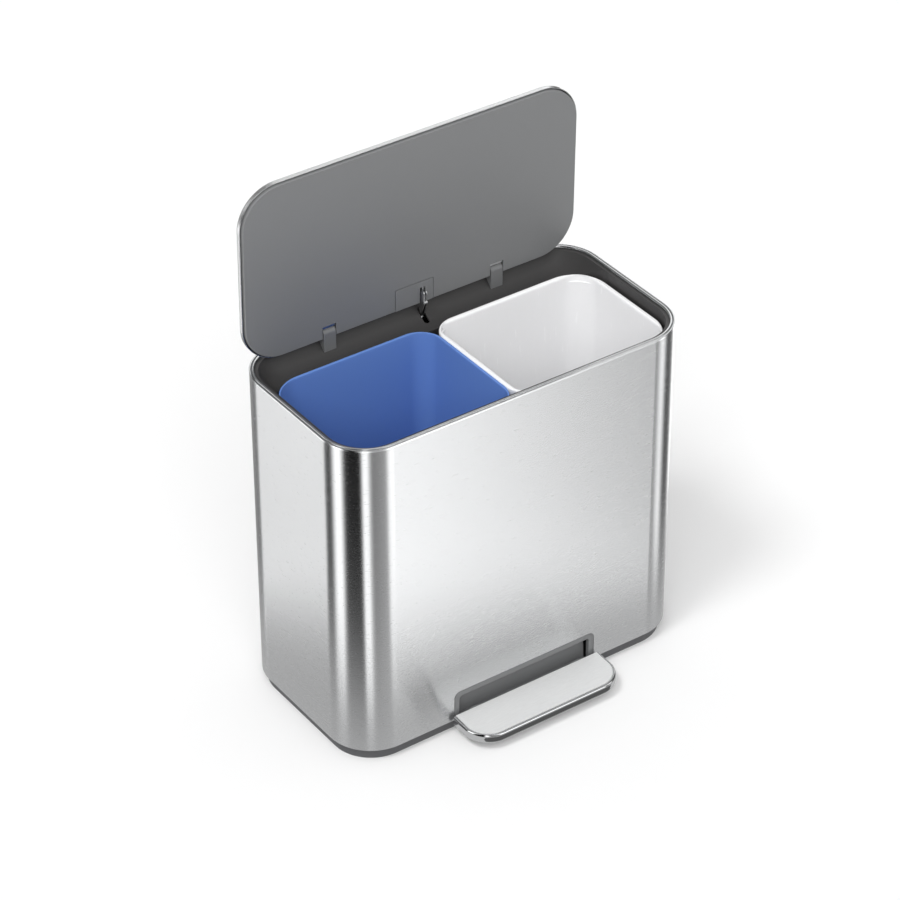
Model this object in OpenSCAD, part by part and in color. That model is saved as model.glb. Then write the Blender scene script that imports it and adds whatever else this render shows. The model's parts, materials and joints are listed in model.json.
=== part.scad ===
// Double recycling bin: a pedal bin with two lift-out buckets side by side under one lid.
// X runs across the width, Y from front to back and Z up. The origin lies on the floor under the
// middle of the body. The bin is drawn open: the lid stands upright and the pedal is pressed.

/* [Body] */
// Width of the steel body
body_w = 405; // [370:1:450]
// Depth of the steel body
body_d = 210; // [200:1:240]
// Height of the body to the top of its rim
body_h = 375; // [330:1:430]
// Radius of the body's upright corners
corner_r = 49; // [46:1:56]
// Thickness of the steel sleeve
sleeve_t = 0.8; // [0.6:0.1:1.2]
// Height of the sleeve's lower edge above the floor
plinth_h = 13.3; // [12:0.1:18]
// Distance from the body's face in to the plinth
plinth_inset = 5.4; // [4:0.1:8]
// Thickness of the base plate and of the floor under the buckets
tray_t = 3; // [2.5:0.1:4]
// Thickness of the base tray's walls
tray_wall_t = 2.5; // [2:0.1:3]
// Height of the base tray's wall inside the sleeve
tray_wall_h = 26; // [18:1:40]
// Height of the surface on which the buckets stand
deck_z = 64; // [62:1:80]

/* [Rim and inner frame] */
// Width of the steel rim, seen from above
rim_w = 5.5; // [4.8:0.1:7]
// Width of the rim's outer lip
rim_lip_w = 1.4; // [1.2:0.1:2]
// Height of the rim's outer lip
rim_lip_h = 2.5; // [2:0.1:4]
// Width of the groove between the lip and the bead
rim_groove_w = 0.3; // [0.2:0.05:0.5]
// Depth of the inner frame's land below the rim's top
land_drop = 2.7; // [2.5:0.1:4]
// Width of the land inside the rim
land_w = 3.4; // [2.5:0.1:5]
// Depth by which the rim sinks into the inner frame
rim_seat = 1.5; // [1:0.1:2]
// Height of the inner frame below its land
frame_h = 32; // [30:1:45]
// Thickness of the inner frame's walls
frame_t = 2.5; // [2:0.1:3]
// Depth of the rear ledge, from the body's rear face to the bucket well
ledge_d = 40.4; // [38:0.1:44]
// Drop of the ledge from the land to the edge of the bucket well
ledge_drop = 20.3; // [17:0.1:23]

/* [Lid] */
// Angle to which the lid opens, in degrees
lid_open = 89; // [80:1:92]
// Gap between the closed lid's side edges and the rim's inner edge
lid_side_gap = 0; // [0:0.1:2]
// Gap between the closed lid's free edge and the rim's inner edge
lid_front_gap = 1.2; // [0.8:0.1:3]
// Gap between the closed lid's rear edge and the rim's inner edge
lid_rear_gap = 3.1; // [2.8:0.1:4]
// Gap between the rim's top and the closed lid's steel edge
lid_lift = 0.9; // [0.7:0.1:2]
// Height of the steel cap
cap_h = 6; // [5.8:0.1:8]
// Thickness of the steel cap
cap_t = 0.8; // [0.6:0.1:1]
// Radius of the cap's upper edge
cap_edge_r = 2.4; // [1.2:0.1:3]
// Distance from the cap's edge in to the liner's edge
liner_inset = 2; // [1.8:0.1:3]
// Distance by which the liner stands out of the cap
liner_proud = 3; // [2.5:0.1:3]
// Thickness of the liner
liner_t = 2; // [1.6:0.1:2]
// Thickness of the liner's hidden upstand and ribs
liner_wall_t = 1.2; // [1:0.1:1.2]

/* [Hinge] */
// Distance from the body's rear face to the hinge axis
hinge_inset = 14.9; // [14.5:0.1:15.5]
// Height of the hinge axis above the rim's top
hinge_rise = 3; // [2.8:0.1:3.2]
// Distance from the middle of the bin to each hinge lug
lug_x = 100; // [70:1:120]
// Width of a hinge lug
lug_w = 14; // [10:1:20]
// Radius of a lug's round nose
lug_r = 5.5; // [4.5:0.1:5.6]
// Gap between a lug and the sides of its notch in the lid
notch_side_gap = 1; // [0.6:0.1:2]
// Radius of the hinge pins
hinge_pin_r = 1.5; // [1.2:0.1:1.8]
// Radius of the pin bosses in the lid
boss_r = 3; // [2.6:0.1:3]
// Length of a pin boss
boss_l = 5; // [4:0.5:8]

/* [Lift linkage] */
// Distance of the push rod and the lift arm from the middle of the bin
link_x = 10.1; // [8:0.1:14]
// Distance of the arm's pin in front of the hinge axis
link_off = 7.6; // [7.2:0.1:8]
// Radius of the arm's pin
link_pin_r = 1.1; // [0.9:0.1:1.2]
// Play of the arm's pin in its slot, each side
link_play = 0.6; // [0.55:0.01:0.7]
// Wall of the ear round the slot
ear_wall = 1.2; // [1:0.1:1.4]
// Thickness of the ear
ear_t = 1.5; // [1.2:0.1:1.6]
// Thickness of each plate of the lift arm
arm_t = 1.5; // [1.2:0.1:1.6]
// Width of the arm's plates
arm_w = 5; // [4:0.1:5.2]
// Overall width of the arm's fork
fork_w = 5; // [4.8:0.1:5.4]
// Height of the arm's straight part below its pin
arm_straight = 11; // [10:0.5:12]
// Height of the arm's slanting part
arm_slant = 21; // [19:0.5:24]
// Radius of the push rod
rod_r = 2.5; // [2:0.1:3]
// Radius of the pins at both ends of the rod
rod_pin_r = 1.5; // [1.2:0.1:1.6]
// Height of the rod's foot pin above the pedal axle
foot_rise = 16; // [15:0.5:18]

/* [Pedal] */
// Height of the pedal's axle above the floor
axle_z = 16; // [15:0.5:20]
// Radius of the pedal's axle
axle_r = 3; // [2.5:0.1:3.5]
// Width of the pedal lever
lever_w = 16; // [14:1:20]
// Thickness of the lever's steel
lever_t = 2; // [1.5:0.1:2.5]
// Half the width of the pedal's top plate
tread_hw = 87.7; // [80:0.1:100]
// Depth of the pedal's top plate
tread_d = 44; // [36:1:55]
// Radius of the top plate's front corners
tread_r = 25; // [15:1:30]
// Thickness of the top plate
tread_t = 1.2; // [1:0.1:1.5]
// Width of the chromed band outside the top plate
band_w = 3.3; // [3:0.1:5]
// Distance by which the band passes under the top plate
band_under = 3; // [2:0.1:5]
// Height of the band
band_h = 11; // [9:0.5:12]
// Radius of the band's upper and lower edges
band_edge_r = 2.8; // [2:0.1:3]
// Gap between the body's face and the pedal's rear edge
pedal_gap = 4; // [4:0.1:8]
// Height of the pedal's top at its rear edge, pressed
pedal_top_z = 22.6; // [21:0.1:26]
// Fall of the pressed pedal towards its front, in degrees
pedal_tilt = 2; // [0:0.5:4]
// Half the width of the pedal's neck and shield
neck_hw = 79.5; // [60:0.5:85]
// Height of the top of the neck above the floor
neck_top_z = 14; // [13:0.1:16]
// Thickness of the neck
neck_t = 7.5; // [6:0.1:8]
// Distance from the body's face in to the shield
shield_inset = 7.4; // [6.5:0.1:10]
// Thickness of the shield
shield_t = 2; // [1.5:0.1:3]
// Width of the frame round the pedal's opening
bezel_w = 5.5; // [4:0.1:8]
// Height of the top of the pedal's opening above the floor
bezel_top_z = 46.5; // [43:0.1:50]
// Outer corner radius of the frame round the opening
bezel_r = 7; // [6:0.5:10]
// Depth of the frame round the opening
bezel_d = 5; // [3:0.1:6]

/* [Buckets] */
// Distance from the rim's top down to the bucket's rim
bucket_drop = 13.5; // [12:0.1:16]
// Gap between a bucket and the well, all round
bucket_gap = 2.3; // [1.8:0.1:3]
// Gap between the two buckets
middle_gap = 0.6; // [0.4:0.1:2]
// Radius of the corners where the buckets meet
middle_r = 27; // [22:1:34]
// Inward slope of a bucket's walls over its height
bucket_taper = 7.5; // [4:0.5:9]
// Thickness of a bucket's wall
bucket_t = 2; // [1.5:0.1:2.5]
// Width of the blue bucket's rim
blue_rim_w = 3; // [2.8:0.1:5]
// Width of the white bucket's rolled rim
white_rim_w = 5.5; // [4:0.1:6.5]
// Height of the buckets' rims
bucket_rim_h = 7; // [5:0.5:12]

/* [Damper] */
// Distance of the damper from the middle of the bin
damper_x = 45; // [35:1:60]
// Outer radius of the damper
damper_r = 9; // [7.5:0.5:11]
// Wall of the damper
damper_wall = 1.8; // [1.5:0.1:2.5]
// Length of the damper
damper_l = 62; // [55:1:75]
// Height of the damper's lower end above the deck
damper_up = 66; // [50:1:80]
// Radius of the piston rod
piston_r = 2; // [1.5:0.1:2.5]

/* [Fastenings] */
// Radius of the screws
screw_r = 1.7; // [1.4:0.1:2]
// Radius of the screw heads
screw_head_r = 3.2; // [2.8:0.1:3.6]
// Height of the screw heads
screw_head_h = 1.6; // [1.2:0.1:2]
// Radius of the rubber feet
foot_r = 9; // [7:0.5:12]
// Thickness of the rubber feet
foot_t = 2; // [1:0.1:2]

/* [Clearances] */
// Gap between parts that are pushed into each other
fit = 0.2; // [0.1:0.05:0.3]
// Radial clearance of a pin or rod that turns or slides in its bore
run = 0.05; // [0.02:0.01:0.08]
// Gap between moving parts that pass each other
pass = 0.5; // [0.4:0.1:0.6]

/* [Hidden] */
$fn = 72;

// Overrun of every cut
over = 2;
// Facets of the buckets' corners
bucket_fn = 48;
// Steps of the small arcs and of the ledge's curve
arc_steps = 6;
cove_steps = 10;

// Body, from the outside in
front_y = -body_d / 2;
rear_y = body_d / 2;
frame_in = sleeve_t + fit;
land_z = body_h - land_drop;
frame_z = land_z - frame_h;
rim_edge_r = 0.5;
rim_lip_drop = 0.4;
groove_in = rim_w + land_w;
well_w = body_w - 2 * groove_in;
well_front = front_y + groove_in;
well_rear = rear_y - ledge_d;
well_r = corner_r - groove_in;
cove_power = 2.5;

// Hinge axis and closed lid, whose heights are counted from the axis
hinge_y = rear_y - hinge_inset;
hinge_z = body_h + hinge_rise;
lip_z = lid_lift - hinge_rise;
cap_z = lip_z + cap_h;
face_z = lip_z - liner_proud;
lid_w = body_w - 2 * (rim_w + lid_side_gap);
lid_front = front_y + rim_w + lid_front_gap - hinge_y;
lid_rear = rear_y - rim_w - lid_rear_gap - hinge_y;
lid_d = lid_rear - lid_front;
lid_r = corner_r - rim_w - lid_side_gap;
liner_rear = lid_rear - liner_inset;
notch_depth_y = -lug_r - pass;
notch_w = lug_w + 2 * notch_side_gap;
plate_d = 26;
plate_t = 1.5;
plate_end = 8;
cover_w = 45;
cover_d = 24.6;
cover_t = 1.2;
cover_r = 2;
cover_lap = 3;
cover_groove = 0.25;
liner_rib_shares = [0.2, 0.4, 0.6, 0.8];
arm_slot_w = fork_w + 2 * pass + fit;
arm_slot_d = 12.9;

// Lift linkage. The rod's travel is a constant share of the lid's turn
link_rate_share = 1.205;
half_turn = lid_open / 2;
link_rise = link_off * link_rate_share * half_turn * PI / 180;
link_y = hinge_y - link_off;
link_z = hinge_z + link_rise;
link_reach = norm([link_off, link_rise]);
arm_x = link_x - fork_w / 2;
ear_gap_share = 1.2;
ear_x = arm_x + arm_t + ear_gap_share * ear_wall;
ear_hw = link_pin_r + link_play + ear_wall;
slot_in = link_off - pass / 2;
slot_out = link_reach + pass / 2;
fork_z = link_z - arm_straight;
head_z = fork_z - arm_slant;
head_eye_r = 3.5;
foot_z = axle_z + foot_rise;
foot_angle = atan2(foot_rise, hinge_y);
foot_reach = norm([foot_rise, hinge_y]);
foot_eye_r = 4.5;
rod_guide_t = 4;
rod_guide_w = 18;
rod_guide_shares = [0.14, 0.86];

// Channel in front of the rod
cover_front = well_rear + bucket_gap;
channel_t = 2;
channel_left = -20;
channel_right = 72;
channel_foot = 9;

// Pedal
shield_r = -front_y - shield_inset;
shield_low = -2.3;
shield_high = 16.3;
tray_clear = 1.5;
bezel_hw = neck_hw + 2 * pass + bezel_w;
bezel_flange = 4;
bezel_flange_t = 1.5;
core_t = 3;
tongue_hw = 60;
tongue_l = 38;
tongue_t = 5;
lever_hw = lever_w / 2;
lever_plate_hw = 32;
lever_plate_l = 30;
lever_z = neck_top_z - neck_t + tongue_t;
lever_bar_h = 10;
lever_web_stop = 11;
lever_front_h = 9;
lever_eye_r = 7.5;
post_t = 4;
post_gap = 1;
clip_t = 1;
clip_r = 5.5;
post_w = 14;
tongue_back = front_y + shield_inset + tongue_l;
pedal_screw_shares = [0.25, 0.75];
pedal_screw_x = 22;

// Buckets
bucket_z = body_h - bucket_drop;
bucket_side = well_w / 2 - bucket_gap;
bucket_front = well_front + bucket_gap;
bucket_rear = well_rear - bucket_gap;
bucket_r = well_r - bucket_gap;
rib_w = 5;
rib_h = 8;

// Screws and posts
post_r = 6;
post_x = body_w / 2 - corner_r;
post_y = body_d / 2 - corner_r + tray_wall_t;
foot_x = post_x - 3 * foot_r;
lug_h = 22;
lug_foot_z = land_z - lug_h;
lug_block = 6;

// Points of an arc about c, from angle a to angle b
function arc(c, r, a, b) =
    [for (i = [0:arc_steps]) c + r * [cos(a + (b - a) * i / arc_steps), sin(a + (b - a) * i / arc_steps)]];

// Curve of the ledge, as distance in from the body's face and height
function cove(lower) = [
    for (i = [0:cove_steps])
        let (s = i / cove_steps)
        [groove_in + s * (ledge_d - groove_in), land_z - lower - ledge_drop * (1 - pow(1 - s, cove_power))]
];

// Rounded rectangle about the origin
module round_rect(w, d, r) {
    square([w - 2 * r, d], center = true);
    square([w, d - 2 * r], center = true);
    for (sx = [-1, 1], sy = [-1, 1]) {
        translate([sx * (w / 2 - r), sy * (d / 2 - r)]) circle(r = r);
    }
}

// Prism of the body's outline, drawn in by inset
module body_prism(inset, z0, z1) {
    translate([0, 0, z0]) linear_extrude(z1 - z0) {
        round_rect(body_w - 2 * inset, body_d - 2 * inset, corner_r - inset);
    }
}

// Quarter turn and straight side of a sweep, for a profile whose x runs inwards
module sweep_side(l) {
    rotate([90, 0, 0]) linear_extrude(l) mirror([1, 0]) children();
}

module sweep_corner(r) {
    rotate_extrude(angle = 90) translate([r, 0]) mirror([1, 0]) children();
}

// Sweep of a profile round a rounded rectangle
module round_sweep(w, d, r) {
    for (side = [0:3]) {
        across = side % 2 == 0 ? w : d;
        along = (side % 2 == 0 ? d : w) - 2 * r;
        rotate([0, 0, side * 90]) {
            translate([across / 2, along / 2, 0]) sweep_side(along) children();
            translate([across / 2 - r, along / 2, 0]) sweep_corner(r) children();
        }
    }
}

// Sweep along the rear of the body, round both rear corners and forward by side_l
module rear_sweep(side_l) {
    corner_x = body_w / 2 - corner_r;
    corner_y = body_d / 2 - corner_r;
    rotate([0, 0, 90]) translate([rear_y, corner_x, 0]) sweep_side(2 * corner_x) children();
    translate([corner_x, corner_y, 0]) sweep_corner(corner_r) children();
    translate([-corner_x, corner_y, 0]) rotate([0, 0, 90]) sweep_corner(corner_r) children();
    translate([body_w / 2, corner_y, 0]) sweep_side(side_l) children();
    rotate([0, 0, 180]) translate([body_w / 2, side_l - corner_y, 0]) sweep_side(side_l) children();
}

// Outline in the Y-Z plane, made t thick from x0
module yz_plate(x0, t) {
    translate([x0, 0, 0]) rotate([90, 0, 90]) linear_extrude(t) children();
}

// Round bar along X
module x_rod(r, x0, x1, y, z) {
    translate([x0, y, z]) rotate([0, 90, 0]) cylinder(r = r, h = x1 - x0);
}

// Box between two corners
module box(a, b) {
    translate(a) cube(b - a);
}

// Screw that points down from its head's seat, with a socket in the head
module screw(l) {
    difference() {
        union() {
            translate([0, 0, -l]) cylinder(r = screw_r, h = l);
            cylinder(r = screw_head_r, h = screw_head_h);
        }
        translate([0, 0, screw_head_h / 2]) cylinder(r = screw_r, h = screw_head_h, $fn = 6);
    }
}

// Turns what is drawn for the closed lid, with the hinge axis at the origin, to the open lid
module open_lid() {
    translate([0, hinge_y, hinge_z]) rotate([-lid_open, 0, 0]) children();
}

// Outline of the closed lid, drawn in by inset
module lid_outline(inset) {
    translate([0, (lid_front + lid_rear) / 2]) {
        round_rect(lid_w - 2 * inset, lid_d - 2 * inset, lid_r - inset);
    }
}

module lid_slab(inset, z0, z1) {
    translate([0, 0, z0]) linear_extrude(z1 - z0) lid_outline(inset);
}

// Notches of the lid for the hinge lugs
module lid_notches() {
    for (sx = [-1, 1]) {
        box([sx * lug_x - notch_w / 2, notch_depth_y, face_z - over],
            [sx * lug_x + notch_w / 2, lid_rear + over, cap_z + over]);
    }
}

// Slot of the lid for the lift arm, as wide as w from x0
module arm_slot(x0, w) {
    box([x0, -arm_slot_d, face_z - over], [x0 + w, lid_rear, boss_r]);
}

// Opening of the pedal in the body's front, w wide each side of the middle, up to height z1
module pedal_opening(hw, z1, r, y0, y1) {
    translate([0, y1, 0]) rotate([90, 0, 0]) linear_extrude(y1 - y0) {
        translate([-hw, -over]) square([2 * hw, z1 - r + over]);
        translate([-(hw - r), 0]) square([2 * (hw - r), z1]);
        for (sx = [-1, 1]) translate([sx * (hw - r), z1 - r]) circle(r = r);
    }
}

module outer_sleeve() {
    color("#c9cacb") difference() {
        body_prism(0, plinth_h, body_h - rim_lip_h);
        body_prism(sleeve_t, plinth_h - over, body_h);
        pedal_opening(bezel_hw + fit, bezel_top_z + fit, bezel_r, front_y - over, front_y + 2 * over);
    }
}

module rim_ring() {
    bead_r = (rim_w - rim_lip_w - rim_groove_w) / 2;
    bead_c = [rim_w - bead_r, -bead_r];
    lip_top = -rim_lip_drop;
    profile = concat(
        [[0, -rim_lip_h]],
        arc([rim_edge_r, lip_top - rim_edge_r], rim_edge_r, 180, 90),
        [[rim_lip_w, lip_top], [rim_lip_w, -bead_r]],
        arc(bead_c, bead_r, 180, 0),
        [[rim_w, -land_drop - rim_seat], [frame_in, -land_drop - rim_seat], [frame_in, -rim_lip_h]]
    );
    color("#d5d6d7") translate([0, 0, body_h]) {
        round_sweep(body_w, body_d, corner_r) polygon(profile);
    }
}

// Well of the buckets, widened all round by grow
module well(grow, z0, z1) {
    translate([0, (well_front + well_rear) / 2, z0]) linear_extrude(z1 - z0) {
        round_rect(well_w + 2 * grow, well_rear - well_front + 2 * grow, well_r + grow);
    }
}

module inner_frame() {
    rear_side = body_d / 2 - corner_r - well_rear + well_r;
    upper = concat([[groove_in, land_z + over]], cove(0), [[ledge_d, land_z + over]]);
    lower = concat(
        [[frame_in + frame_t, frame_z - over], [frame_in + frame_t, land_z - rim_seat - frame_t]],
        [[groove_in, land_z - rim_seat - frame_t]],
        [for (p = cove(frame_t)) if (p[1] < land_z - 2 * frame_t) p],
        [[ledge_d, frame_z - over]]);
    color("#555657") difference() {
        union() {
            body_prism(frame_in, frame_z, land_z - rim_seat);
            body_prism(rim_w, frame_z, land_z);
        }
        well(0, frame_z - over, land_z + over);
        rear_sweep(rear_side) polygon(upper);
        difference() {
            rear_sweep(rear_side) polygon(lower);
            well(frame_t, frame_z - 2 * over, land_z);
            for (sx = [-1, 1]) {
                box([sx * lug_x - lug_w / 2 - lug_block, hinge_y - lug_r - lug_block, lug_foot_z - tray_t],
                    [sx * lug_x + lug_w / 2 + lug_block, rear_y - frame_in - frame_t + fit, land_z]);
            }
        }
        for (sx = [-1, 1]) {
            box([sx * lug_x - lug_w / 2, hinge_y - lug_r, lug_foot_z],
                [sx * lug_x + lug_w / 2, hinge_y + lug_r, land_z + over]);
            translate([sx * lug_x, hinge_y, frame_z]) cylinder(r = screw_r, h = frame_h);
        }
        arm_slot_front = link_y - arm_w / 2 - pass;
        box([link_x - arm_slot_w / 2, arm_slot_front + arm_slot_w / 2, frame_z - over],
            [link_x + arm_slot_w / 2, hinge_y + link_pin_r, land_z + over]);
        translate([link_x, arm_slot_front + arm_slot_w / 2, frame_z - over])
            cylinder(r = arm_slot_w / 2, h = frame_h + 2 * over);
    }
}

module hinge_lugs() {
    color("#6b6c6d") for (sx = [-1, 1]) difference() {
        yz_plate(sx * lug_x - lug_w / 2, lug_w) {
            translate([hinge_y - lug_r, lug_foot_z]) square([2 * lug_r, hinge_z - lug_foot_z]);
            translate([hinge_y, hinge_z]) circle(r = lug_r);
        }
        x_rod(hinge_pin_r + run, sx * lug_x - lug_w, sx * lug_x + lug_w, hinge_y, hinge_z);
        translate([sx * lug_x, hinge_y, lug_foot_z - over]) cylinder(r = screw_r, h = 2 * lug_r + over);
    }
}

module hinge_screws() {
    color("silver") for (sx = [-1, 1]) {
        translate([sx * lug_x, hinge_y, lug_foot_z - tray_t]) rotate([180, 0, 0])
            screw(tray_t + 2 * lug_r - over);
    }
}

// Places of the four posts under the floor
module post_places() {
    for (sx = [-1, 1], sy = [-1, 1]) translate([sx * post_x, sy * post_y, 0]) children();
}

// Places of the four rubber feet
module foot_places() {
    for (sx = [-1, 1], sy = [-1, 1]) translate([sx * foot_x, sy * post_y, 0]) children();
}

module base_tray() {
    flange_z = plinth_h + tray_t;
    color("#5a5a5b") difference() {
        union() {
            difference() {
                union() {
                    body_prism(plinth_inset, 0, plinth_h);
                    body_prism(frame_in, plinth_h, plinth_h + tray_wall_h);
                }
                body_prism(plinth_inset + tray_wall_t, tray_t, body_h);
                body_prism(frame_in + tray_wall_t, flange_z, body_h);
                box([-neck_hw - tray_clear, front_y - over, tray_t + tray_clear],
                    [neck_hw + tray_clear, -shield_r + over, body_h]);
                box([-bezel_hw - bezel_flange - pass, front_y - over, plinth_h - over / 2],
                    [bezel_hw + bezel_flange + pass, -shield_r + over, body_h]);
            }
            post_places() cylinder(r = post_r, h = deck_z - tray_t);
            for (sx = [-1, 1]) {
                inner = lever_hw + post_gap;
                x0 = link_x + (sx < 0 ? -inner - post_t : inner);
                yz_plate(x0, post_t) {
                    translate([-post_w / 2, 0]) square([post_w, axle_z]);
                    translate([0, axle_z]) circle(r = post_w / 2);
                }
            }
        }
        x_rod(axle_r + run, link_x - lever_w, link_x + lever_w, 0, axle_z);
        post_places() translate([0, 0, tray_t]) cylinder(r = screw_r, h = deck_z);
        foot_places() translate([0, 0, -over]) cylinder(r = foot_r, h = foot_t + over);
    }
}

module feet() {
    color("#2b2b2b") foot_places() cylinder(r = foot_r, h = foot_t);
}

module bucket_floor() {
    rib_front = bucket_front + 2 * bucket_taper;
    color("#5f6061") difference() {
        union() {
            body_prism(frame_in + fit, deck_z - tray_t, deck_z);
            box([-rib_w / 2, rib_front, deck_z - tray_t],
                [rib_w / 2, bucket_rear - 2 * bucket_taper, deck_z + rib_h]);
        }
        post_places() translate([0, 0, deck_z - 2 * tray_t]) cylinder(r = screw_r, h = 3 * tray_t);
        post_places() translate([0, 0, deck_z - screw_head_h])
            cylinder(r = screw_head_r + fit, h = 2 * screw_head_h);
        translate([link_x, hinge_y, deck_z - 2 * tray_t]) cylinder(r = rod_r + pass, h = 3 * tray_t);
    }
}

module floor_screws() {
    color("silver") post_places() translate([0, 0, deck_z - screw_head_h]) screw(tray_t * 4);
}

module pedal_bezel() {
    open_hw = bezel_hw - bezel_w;
    open_z = bezel_top_z - bezel_w;
    color("#6a6b6c") difference() {
        union() {
            pedal_opening(bezel_hw, bezel_top_z, bezel_r, front_y, front_y + bezel_d);
            pedal_opening(bezel_hw + bezel_flange, bezel_top_z + bezel_flange, bezel_r,
                front_y + sleeve_t, front_y + sleeve_t + bezel_flange_t);
        }
        pedal_opening(open_hw, open_z, bezel_r / 2, front_y - over, front_y + bezel_d + over);
        box([-body_w, front_y - over, -2 * over], [body_w, front_y + bezel_d + over, plinth_h]);
    }
}

module pedal_axle() {
    reach = lever_hw + post_gap + post_t + 2 * clip_t;
    color("silver") x_rod(axle_r, link_x - reach, link_x + reach, 0, axle_z);
}

module axle_clips() {
    reach = lever_hw + post_gap + post_t;
    color("#8a8b8c") for (x0 = [link_x - reach - clip_t, link_x + reach]) difference() {
        x_rod(clip_r, x0, x0 + clip_t, 0, axle_z);
        x_rod(axle_r, x0 - over, x0 + clip_t + over, 0, axle_z);
    }
}

module rod_cover() {
    channel_rear = rear_y - frame_in - pass;
    foot_depth = channel_foot + channel_t;
    color("#606162") difference() {
        union() {
            box([channel_left, cover_front, deck_z], [channel_right, channel_rear, frame_z]);
            box([channel_left - foot_depth, cover_front, deck_z],
                [channel_right + foot_depth, cover_front + 2 * channel_foot, deck_z + channel_t]);
        }
        box([channel_left + channel_t, cover_front + channel_t, deck_z - over],
            [channel_right - channel_t, rear_y, frame_z + over]);
        for (x = [channel_left - channel_foot / 2, channel_right + channel_foot / 2]) {
            translate([x, cover_front + channel_foot, deck_z - over]) cylinder(r = screw_r, h = 3 * over);
        }
    }
}

module cover_screws() {
    color("silver") for (x = [channel_left - channel_foot / 2, channel_right + channel_foot / 2]) {
        translate([x, cover_front + channel_foot, deck_z + channel_t]) screw(channel_t);
    }
}

module rod_guides() {
    color("#8c8d8e") for (share = rod_guide_shares) {
        z = deck_z + share * (frame_z - deck_z);
        difference() {
            box([link_x - rod_guide_w / 2, cover_front + channel_t, z],
                [link_x + rod_guide_w / 2, hinge_y + 2 * rod_r, z + rod_guide_t]);
            translate([link_x, hinge_y, z - over]) cylinder(r = rod_r + run, h = rod_guide_t + 2 * over);
        }
    }
}

// Damper, from its lower end up
damper_z = deck_z + damper_up;
damper_top = damper_z + damper_l;

module damper_mount() {
    color("#8c8d8e") difference() {
        box([damper_x - damper_r - damper_wall, cover_front + channel_t, damper_z - tray_t],
            [damper_x + damper_r + damper_wall, hinge_y + damper_r / 2, damper_z + damper_r]);
        translate([damper_x, hinge_y, damper_z]) cylinder(r = damper_r, h = damper_l);
    }
}

module damper_cylinder() {
    color("#3a3b3c") difference() {
        translate([damper_x, hinge_y, damper_z]) cylinder(r = damper_r, h = damper_l);
        translate([damper_x, hinge_y, damper_z + damper_wall])
            cylinder(r = damper_r - damper_wall, h = damper_l);
    }
}

module damper_cap() {
    color("#1f1f20") difference() {
        translate([damper_x, hinge_y, damper_top]) cylinder(r = damper_r, h = tray_t);
        translate([damper_x, hinge_y, damper_top - over])
            cylinder(r = piston_r + run, h = tray_t + 2 * over);
    }
}

// Yoke height that keeps clear of the damper over the rod's travel
yoke_z = damper_top + 2 * link_rise + 2 * tray_t;
yoke_t = 6;

module damper_yoke() {
    color("#8c8d8e") difference() {
        box([link_x - 2 * rod_r, hinge_y - 2 * rod_r, yoke_z],
            [damper_x + 2 * rod_r, hinge_y + 2 * rod_r, yoke_z + yoke_t]);
        translate([link_x, hinge_y, yoke_z - over]) cylinder(r = rod_r, h = yoke_t + 2 * over);
        translate([damper_x, hinge_y, yoke_z - over]) cylinder(r = piston_r, h = yoke_t + 2 * over);
    }
}

module damper_piston() {
    head_z0 = damper_z + damper_wall + 2 * link_rise + over;
    color("silver") {
        translate([damper_x, hinge_y, head_z0]) cylinder(r = piston_r, h = yoke_z + yoke_t - head_z0);
        translate([damper_x, hinge_y, head_z0]) cylinder(r = damper_r - damper_wall - run, h = yoke_t);
    }
}

module push_rod() {
    tongue_w = fork_w - 2 * arm_t - fit;
    color("silver") difference() {
        union() {
            translate([link_x, hinge_y, foot_z]) cylinder(r = rod_r, h = head_z - head_eye_r - foot_z);
            translate([link_x - tongue_w / 2, hinge_y - rod_r, head_z - 2 * head_eye_r])
                cube([tongue_w, 2 * rod_r, 2 * head_eye_r]);
            x_rod(head_eye_r, link_x - tongue_w / 2, link_x + tongue_w / 2, hinge_y, head_z);
            x_rod(foot_eye_r, link_x - foot_eye_r, link_x + foot_eye_r, hinge_y, foot_z);
        }
        x_rod(rod_pin_r, link_x - fork_w, link_x + fork_w, hinge_y, head_z);
        x_rod(rod_pin_r, link_x - lever_w, link_x + lever_w, hinge_y, foot_z);
    }
}

// Straight bar between two places in the Y-Z plane, with round ends
module bar(a, b, w) {
    l = norm(b - a);
    translate(a) rotate(atan2(b[1] - a[1], b[0] - a[0])) {
        circle(r = w / 2);
        translate([l, 0]) circle(r = w / 2);
        translate([0, -w / 2]) square([l, w]);
    }
}

module lift_arm() {
    nose = [link_y, link_z];
    bend = [link_y, fork_z];
    heel = [hinge_y, head_z];
    color("#b9babb") difference() {
        union() {
            yz_plate(arm_x, arm_t) {
                bar(nose, bend, arm_w);
                bar(bend, heel, arm_w);
                translate(nose) circle(r = ear_hw);
            }
            yz_plate(arm_x + fork_w - arm_t, arm_t) bar(bend, heel, arm_w);
            yz_plate(arm_x, fork_w) translate(bend) circle(r = arm_w / 2);
        }
        x_rod(rod_pin_r, arm_x - over, arm_x + fork_w + over, hinge_y, head_z);
        x_rod(link_pin_r, arm_x - over, arm_x + arm_t + over, link_y, link_z);
    }
}

module link_pin() {
    color("silver") x_rod(link_pin_r, arm_x, ear_x + ear_t + fit, link_y, link_z);
}

module rod_head_pin() {
    color("silver") x_rod(rod_pin_r, arm_x, arm_x + fork_w, hinge_y, head_z);
}

module rod_foot_pin() {
    reach = lever_hw + clip_t / 2;
    color("silver") x_rod(rod_pin_r, link_x - reach, link_x + reach, hinge_y, foot_z);
}

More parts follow.
